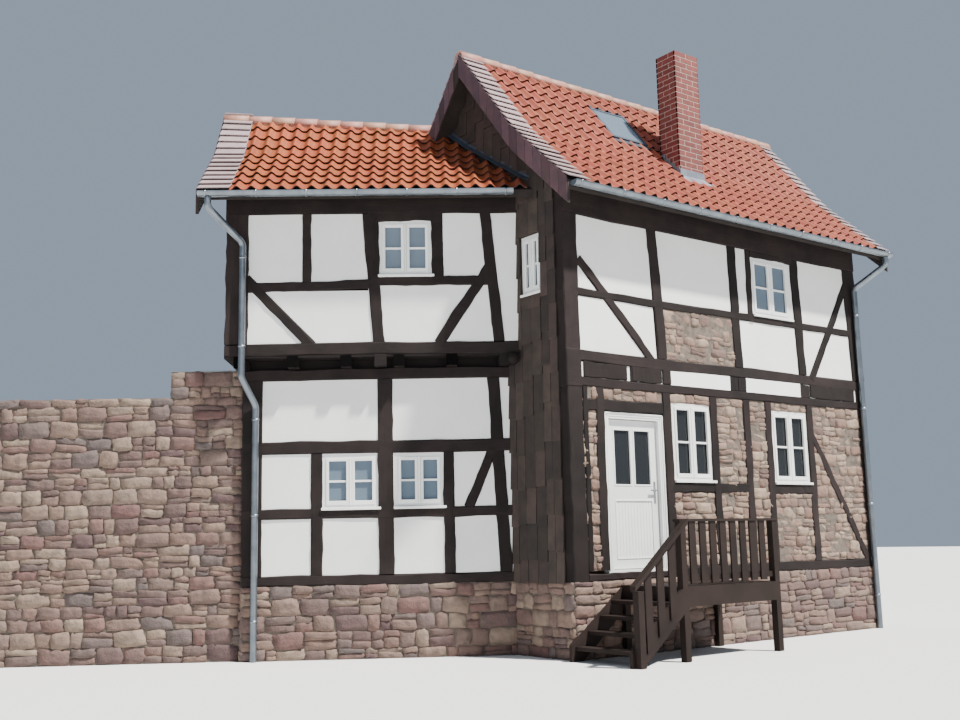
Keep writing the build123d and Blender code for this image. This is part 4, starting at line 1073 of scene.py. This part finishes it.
class HOUSE_OT_gables(bpy.types.Operator):
    """Hung slates of the verges and stone slabs of the gable wall"""

    bl_idname = "house.gables"
    bl_label = "Gables"

    def execute(self, context):
        barge = Heap()
        for rear, count in ((False, 14), (True, 18)):
            for x, outward in zip(right_verges, (-1, 1)):
                hang_slates(barge, HOUSE, right_section(x, rear), x + outward * 0.002, count, outward)
            hang_slates(barge, LEFT, left_section(left_verge, rear), left_verge - 0.032, 12, -1)
        barge.build("barge_slates", "dark_slate")

        slabs = Heap()
        window_low, window_high = 4.655, 5.50
        columns = (-1.15, -0.96, -0.76, -0.57, -0.37, -0.17, 0.03, 0.22, 0.40, 0.57, 0.77, 0.97, 1.12, 1.275)
        for x0, x1 in zip(columns, columns[1:]):
            top = min(right_height(0.0, gable_run - x0), right_height(0.0, gable_run - x1)) - 0.17
            z = plinth_top if x0 > 0.15 else left_height(0.0, gable_run - (x0 + x1) / 2) - 0.2
            course = 0.46 + 0.02 * dice.random()
            z_next = z + course * (0.45 + 0.6 * dice.random())
            while z < top - 0.05:
                z_next = min(z_next, top)
                spans = [(z, z_next)]
                if 0.5 < x0 and x1 < 1.0:
                    spans = [(z, min(z_next, window_low)), (max(z, window_high), z_next)]
                for low, high in spans:
                    if high - low <= 0.05:
                        continue
                    points = stretched(block, x1 - x0 - 0.006, 0.02, high - low + 0.03, 0.003)
                    points[:, 1] += points[:, 2] / (high - low) * 0.016
                    points[:, 0] += (dice.random() - 0.5) * 0.008
                    middle = ((x0 + x1) / 2, -0.014 - 0.008 * dice.random(), (low + high) / 2)
                    turn = Matrix.Rotation((dice.random() - 0.5) * 0.02, 4, "Y")
                    slabs.add(block, GABLE @ Matrix.Translation(middle) @ turn, points)
                z = z_next
                z_next = z + course * (0.92 + 0.16 * dice.random())
        slabs.build("gable_slabs", "slab")
        return {"FINISHED"}


brick_length = 0.25
brick_rise = 0.083
brick_joint = 0.014
brick_proud = 0.004
sheet = 0.006
fold = 0.002
over_tiles = 0.062
strips = 18
strips_start = junction - 0.63
strip_length = 2.2 / strips


class HOUSE_OT_chimney(bpy.types.Operator):
    """Bricks and lead of the chimney, and the lead around the roof window and gable"""

    bl_idname = "house.chimney"
    bl_label = "Chimney and flashings"

    def execute(self, context):
        x0, x1, y0, y1 = chimney
        bricks = Heap()
        for course, z in enumerate(np.arange(chimney_top, chimney_foot, -brick_rise)):
            for place, length in ((moved(x0, y0), x1 - x0), (moved(x1, y1, 0, 180), x1 - x0),
                                  (moved(x0, y1, 0, -90), y1 - y0), (moved(x1, y0, 0, 90), y1 - y0)):
                first = brick_length / 2 if course % 2 else brick_length
                cuts = [0.0, *np.arange(first, length - 0.06, brick_length), length]
                for low, high in zip(cuts, cuts[1:]):
                    start = low + brick_joint / 2 if low else -brick_proud
                    end = high - brick_joint / 2 if high < length else length + brick_proud
                    foot = z - brick_rise + brick_joint
                    board(bricks, HOUSE @ place, start, end, -brick_proud, 0.02, foot, z, 0.002)
        bricks.build("chimney_bricks", "brick")

        lead = Heap()
        front = right_height(x0 + 0.25, y0)
        board(lead, HOUSE, x0 - 0.012, x1 + 0.012, y0 - 0.014, y0, front - 0.02, front + 0.17, fold, 0.8)
        slope = (right_height(x0, y0) - right_height(x0, y0 - 0.2)) / 0.2
        out = Vector((0, -slope, 1)).normalized()
        apron = (front + right_height(x0 + 0.25, y0 - 0.14)) / 2
        y = y0 - 0.075
        strap(lead, HOUSE, (x0 - 0.06, y, apron + 0.068), (x1 + 0.12, y, apron + 0.074), out, 0.22, sheet,
              fold, 0.9)
        for x in (x0 - 0.008, x1 + 0.008):
            for step in range(4):
                y = y0 + step * 0.095
                level = right_height(x, y)
                board(lead, HOUSE, x - 0.007, x + 0.007, y, y + 0.1, level - 0.02, level + 0.2, fold, 0.6)
        board(lead, LEFT, -left_length - 0.99, -left_length - 0.002, 0.085, 0.765, 3.776, 3.788, 0.003, 0.4)
        lead.build("lead_flashings", "lead")

        dark = Heap()
        x0, x1, y0, y1 = roof_window
        for y, reach in ((y0 - 0.05, 0.19), (y1 + 0.025, 0.08)):
            level = right_height((x0 + x1) / 2, y) + over_tiles
            strap(dark, HOUSE, (x0 - 0.07, y, level), (x1 + 0.07, y, level + 0.004), out, reach, sheet,
                  fold, 0.2)
        for x in (x0 - 0.035, x1 + 0.035):
            low, high = (Vector((x, y, right_height(x, y) + over_tiles)) for y in (y0, y1))
            strap(dark, HOUSE, low, high, out, 0.075, sheet, fold, 0.2)
        # The lead strips along the gable junction take the dark frame finish as painted shade; the chimney's
        # lead stays light.
        for strip in range(strips):
            y = strips_start + strip_length * strip
            after = y + strip_length + 0.01
            low, high = left_height(-0.05, y), left_height(-0.05, after)
            if not low or not high:
                continue
            for x, lift, facing, *sizes in ((-0.06, 0.115, (-0.35, 0, 1), 0.09, sheet, fold),
                                            (-0.026, 0.13, (-1, 0, 0), 0.07, 0.008, fold)):
                start, end = (x, y, low + lift), (x, after, high + lift)
                strap(dark, HOUSE, start, end, facing, *sizes, 0.45 + 0.3 * dice.random())
        dark.build("frame_and_shaded_gable_flashings", "slate_blue")
        return {"FINISHED"}


# Windows and door

# Each window's wall, left side, width, lower edge and height
window_list = ((LEFT, -2.53, 0.74, 1.92, 0.71), (LEFT, -1.58, 0.65, 1.92, 0.71),
               (LEFT_UPPER, -1.755, 0.71, 5.0, 0.76), (LEFT_REAR, 3.60, 0.70, 1.92, 0.71),
               (LEFT_REAR, 3.60, 0.70, 5.0, 0.72), (GABLE, 0.57, 0.40, 4.68, 0.80),
               (HOUSE, 1.875, 0.775, 2.2, 1.06), (HOUSE, 3.975, 0.825, 2.2, 1.06),
               (HOUSE, 3.72, 0.88, 4.675, 0.88), (RIGHT_REAR, 1.10, 0.75, 2.2, 0.90),
               (RIGHT_REAR, 1.10, 0.75, 4.675, 0.80), (RIGHT_REAR, 3.60, 0.75, 4.675, 0.80))
frame_width = 0.06
sash = 0.03
lap = 0.012


class HOUSE_OT_windows(bpy.types.Operator):
    """Casements, glazing bars and sills of the windows"""

    bl_idname = "house.windows"
    bl_label = "Windows"

    def execute(self, context):
        joinery = Heap()
        for wall, x, width, z, height in window_list:
            light = (width - 3 * frame_width) / 2
            z0, z1 = z + frame_width, z + height - frame_width
            for x0 in (x + frame_width, x + 2 * frame_width + light):
                x1 = x0 + light
                board(joinery, wall, x0 - lap, x1 + lap, 0.004, 0.040, z1 - sash, z1 + lap)
                board(joinery, wall, x0 - lap, x1 + lap, 0.004, 0.040, z0 - lap, z0 + sash + 0.01)
                for edge in (x0 - lap, x1 - sash + 0.004):
                    board(joinery, wall, edge, edge + sash + 0.008, 0.003, 0.039, z0, z1)
                level = (z0 + z1) / 2
                board(joinery, wall, x0, x1, 0.020, 0.045, level - 0.013, level + 0.013, 0.003)
            middle, top = x + width / 2, z + height - 0.045
            board(joinery, wall, middle - 0.014, middle + 0.014, -0.002, 0.016, z + 0.045, top, 0.003)
            board(joinery, wall, x - lap, x + width + 0.03, -0.030, 0.030, z - 0.022, z + lap)
        joinery.build("casements", "paint")
        return {"FINISHED"}


door_face = 0.08
plank = 0.0545


class HOUSE_OT_door(bpy.types.Operator):
    """Beads, boards and handle plate of the front door"""

    bl_idname = "house.door"
    bl_label = "Front door"

    def execute(self, context):
        leaf = Heap()
        edges = [0.833 + index * plank for index in range(12)]
        boards(leaf, HOUSE, door_face + 0.005, door_face + 0.013,
               [(x + 0.001, x + plank - 0.001, 1.208, 1.928) for x in edges])
        boards(leaf, HOUSE, door_face - 0.008, door_face + 0.004, (
            (0.818, 1.502, 1.928, 1.948), (0.818, 1.502, 1.188, 1.208), (0.818, 0.835, 1.208, 1.928),
            (1.485, 1.502, 1.208, 1.928)))
        for x0 in (0.833, 1.195):
            x1 = x0 + 0.292
            boards(leaf, HOUSE, door_face - 0.008, door_face + 0.01, (
                (x0 - 0.014, x1 + 0.014, 2.126, 2.146), (x0 - 0.014, x1 + 0.014, 2.851, 2.871),
                (x0 - 0.014, x0 + 0.006, 2.14, 2.857), (x1 - 0.006, x1 + 0.014, 2.14, 2.857)))
        leaf.build("door_beads", "paint", body="door")

        plate = Heap()
        boards(plate, HOUSE, door_face - 0.006, door_face + 0.001, ((1.528, 1.566, 1.90, 2.19),))
        plate.build("door_plate", "steel", body="door")

        casing = Heap()
        for face, x0, x1, top, width in ((0.010, 0.622, 1.698, 3.078, 0.02),
                                         (0.017, 0.664, 1.656, 3.036, 0.012)):
            boards(casing, HOUSE, face, 0.03, ((x0, x0 + width, floor_top, top),
                                               (x1 - width, x1, floor_top, top), (x0, x1, top - width, top)))
        casing.build("door_casing", "paint")
        return {"FINISHED"}


class HOUSE_OT_rainwater(bpy.types.Operator):
    """Brackets of the gutters and clips of the downpipes"""

    bl_idname = "house.rainwater"
    bl_label = "Gutter brackets and pipe clips"

    def execute(self, context):
        metal = Heap()
        up = (0, 0, 1)
        bracket = make_hoop(0.071, 0.028, True)
        clip = make_hoop(0.0455, 0.03, False)
        for wing, x0, x1, y, z, count in ((LEFT, -4.0, -0.05, -0.59, 6.06, 7),
                                          (HOUSE, -0.15, 6.45, -0.52, 5.88, 10)):
            for index in range(count):
                x = x0 + (x1 - x0) * index / (count - 1)
                metal.add(bracket, wing @ Matrix.Translation((x, y, z)), tone=0.7)
                strap(metal, wing, (x, y + 0.02, z + 0.004), (x, y + 0.10, z + 0.02), up, 0.028, 0.004, 0.001)
        upright = Matrix.Rotation(math.radians(90), 4, "Y")
        for wing, x, y, levels in ((LEFT, -3.56, -0.26, (4.05, 5.25)), (LEFT, -3.40, -0.06, (0.5, 1.85, 3.1)),
                                   (HOUSE, 6.19, -0.06, (0.5, 1.9, 3.4, 4.9))):
            for z in levels:
                metal.add(clip, wing @ Matrix.Translation((x, y, z)) @ upright, tone=0.7)
                strap(metal, wing, (x, y + 0.045, z), (x, y + 0.068, z), up, 0.02, 0.02, 0.002)
        metal.build("rainwater_fixings", "zinc")
        return {"FINISHED"}


# Masonry

town_length = 4.2
town_top = 3.43
town_front = 0.1
town_back = 0.75
raised_length = 0.97


class HOUSE_OT_masonry(bpy.types.Operator):
    """Rubble of the town wall and plinth, and the stone panels"""

    bl_idname = "house.masonry"
    bl_label = "Masonry"

    def execute(self, context):
        wall = Heap()
        front = LEFT @ moved(-left_length - town_length, town_front)
        rear = LEFT @ moved(-left_length, town_back, 0, 180)
        end = LEFT @ moved(-left_length - town_length, town_back, 0, -90)
        for place, x0, x1, z0, z1 in (
                (front, 0, town_length, 0, town_top),
                (front, town_length - raised_length, town_length, town_top, left_plate_top),
                (rear, 0, town_length, 0, town_top), (rear, 0, raised_length, town_top, left_plate_top),
                (end, 0, town_back - town_front, 0, town_top)):
            rubble(wall, place, x0, x1, z0, z1)
        wall.build("town_wall_stones", "stone")

        plinth = Heap()
        for place, x0, x1 in ((HOUSE, 0, right_length), (GABLE, 0.2, gable_run), (LEFT, -left_length, 0),
                              (LEFT @ moved(-left_length, left_depth, 0, -90), 0, left_depth),
                              (LEFT_REAR, rear_start, rear_overlap + left_length),
                              (RIGHT_REAR, 0, right_length - 0.6), (PARTY_SIDE, 0, right_depth)):
            rubble(plinth, place, x0, x1, 0, plinth_top)
        plinth.build("plinth_stones", "stone")

        panels = Heap()
        spots = ((0.25, 0.47, floor_top, right_plate), (0.62, 1.70, 3.23, right_plate),
                 (1.86, 2.65, floor_top, 2.045), (1.86, 2.65, 3.26, right_plate),
                 (2.80, 3.35, floor_top, right_plate), (3.50, 3.83, floor_top, right_plate),
                 (3.975, 4.80, floor_top, 2.045), (3.975, 4.80, 3.26, right_plate),
                 (4.95, 6.14, floor_top, right_plate), (1.82, 3.23, right_sill, 4.56))
        for x0, x1, z0, z1 in spots:
            rubble(panels, HOUSE, x0 - 0.03, x1 + 0.03, z0, z1, course=0.13, length=0.22, stand=-0.006)
        panels.build("stone_panels", "panel_stone")
        backing = Heap()
        boards(backing, HOUSE, 0.011, 0.02, ((1.80, 3.25, 3.84, 4.57),), 0.002)
        backing.build("panel_mortar", "panel_mortar")
        return {"FINISHED"}


# Stage

camera_eye = (-9.145, -10.314, 1.480)
camera_heading = 37
camera_pitch = 9.26
camera_roll = -1.27
sensor_width = 36
stage_size = 160
stage_drop = 0.004
view_reach = 300
sun_spread = 3
fill_energy = 250
fill_size = 9


def hang_lamp(name, kind, colour, energy, place, aim, **settings):
    """A lamp at a place, shining along a direction."""
    light = bpy.data.lights.new(name, kind)
    light.color = colour
    light.energy = energy
    for key, value in settings.items():
        setattr(light, key, value)
    lamp = bpy.data.objects.new(name, light)
    lamp.location = place
    lamp.rotation_euler = Vector(aim).to_track_quat("-Z", "Y").to_euler()
    bpy.context.scene.collection.objects.link(lamp)


class HOUSE_OT_stage(bpy.types.Operator):
    """Floor, soft light and the camera at the photograph's viewing angle"""

    bl_idname = "house.stage"
    bl_label = "Stage"

    def execute(self, context):
        settings = context.scene.house_stage
        deselect()
        bpy.ops.mesh.primitive_plane_add(size=stage_size, location=(0, 0, -stage_drop))
        floor = context.object
        floor.name = "stage_floor"
        material, tree, shader, place = finish("Stage floor", 0.9)
        shader.inputs["Base Color"].default_value = (0.72, 0.72, 0.71, 1)
        floor.data.materials.append(material)

        hang_lamp("key", "SUN", (1.0, 0.97, 0.92), settings.sun, (0, 0, 0), (-0.45, 1.0, -1.7),
                  angle=math.radians(sun_spread))
        hang_lamp("fill", "AREA", (0.93, 0.96, 1.0), fill_energy, (-11, -9, 8), (10, 10, -5), size=fill_size)
        world = bpy.data.worlds.new("studio")
        world.use_nodes = True
        sky = world.node_tree.nodes["Background"].inputs
        sky["Color"].default_value = (0.66, 0.80, 1.0, 1)
        sky["Strength"].default_value = 0.45
        context.scene.world = world

        camera = bpy.data.cameras.new("camera")
        camera.lens = settings.lens
        camera.sensor_width = sensor_width
        camera.clip_end = view_reach
        view = bpy.data.objects.new("camera", camera)
        tilt = Matrix.Rotation(math.radians(90 + camera_pitch), 4, "X")
        view.matrix_world = HOUSE @ moved(*camera_eye, -camera_heading) @ tilt @ moved(0, 0, 0, camera_roll)
        context.scene.collection.objects.link(view)
        context.scene.camera = view
        return {"FINISHED"}


steps = (HOUSE_OT_finishes, HOUSE_OT_left_timbers, HOUSE_OT_right_timbers, HOUSE_OT_hidden_timbers,
         HOUSE_OT_roofs, HOUSE_OT_gables, HOUSE_OT_chimney, HOUSE_OT_windows, HOUSE_OT_door,
         HOUSE_OT_rainwater, HOUSE_OT_masonry, HOUSE_OT_stage)


class HOUSE_PT_panel(bpy.types.Panel):
    """Lists the steps that dress the house"""

    bl_label = "House"
    bl_idname = "HOUSE_PT_panel"
    bl_space_type = "VIEW_3D"
    bl_region_type = "UI"
    bl_category = "House"

    def draw(self, context):
        for step in steps:
            self.layout.operator(step.bl_idname)


classes = (HouseRoof, HouseColours, HouseStage) + steps + (HOUSE_PT_panel,)


def register():
    for each in classes:
        bpy.utils.register_class(each)
    bpy.types.Scene.house_roof = bpy.props.PointerProperty(type=HouseRoof)
    bpy.types.Scene.house_colours = bpy.props.PointerProperty(type=HouseColours)
    bpy.types.Scene.house_stage = bpy.props.PointerProperty(type=HouseStage)


def unregister():
    del bpy.types.Scene.house_stage
    del bpy.types.Scene.house_colours
    del bpy.types.Scene.house_roof
    for each in reversed(classes):
        bpy.utils.unregister_class(each)


def main():
    register()
    for step in steps:
        group_name, operator_name = step.bl_idname.split(".")
        getattr(getattr(bpy.ops, group_name), operator_name)()


if __name__ == "__main__":
    main()
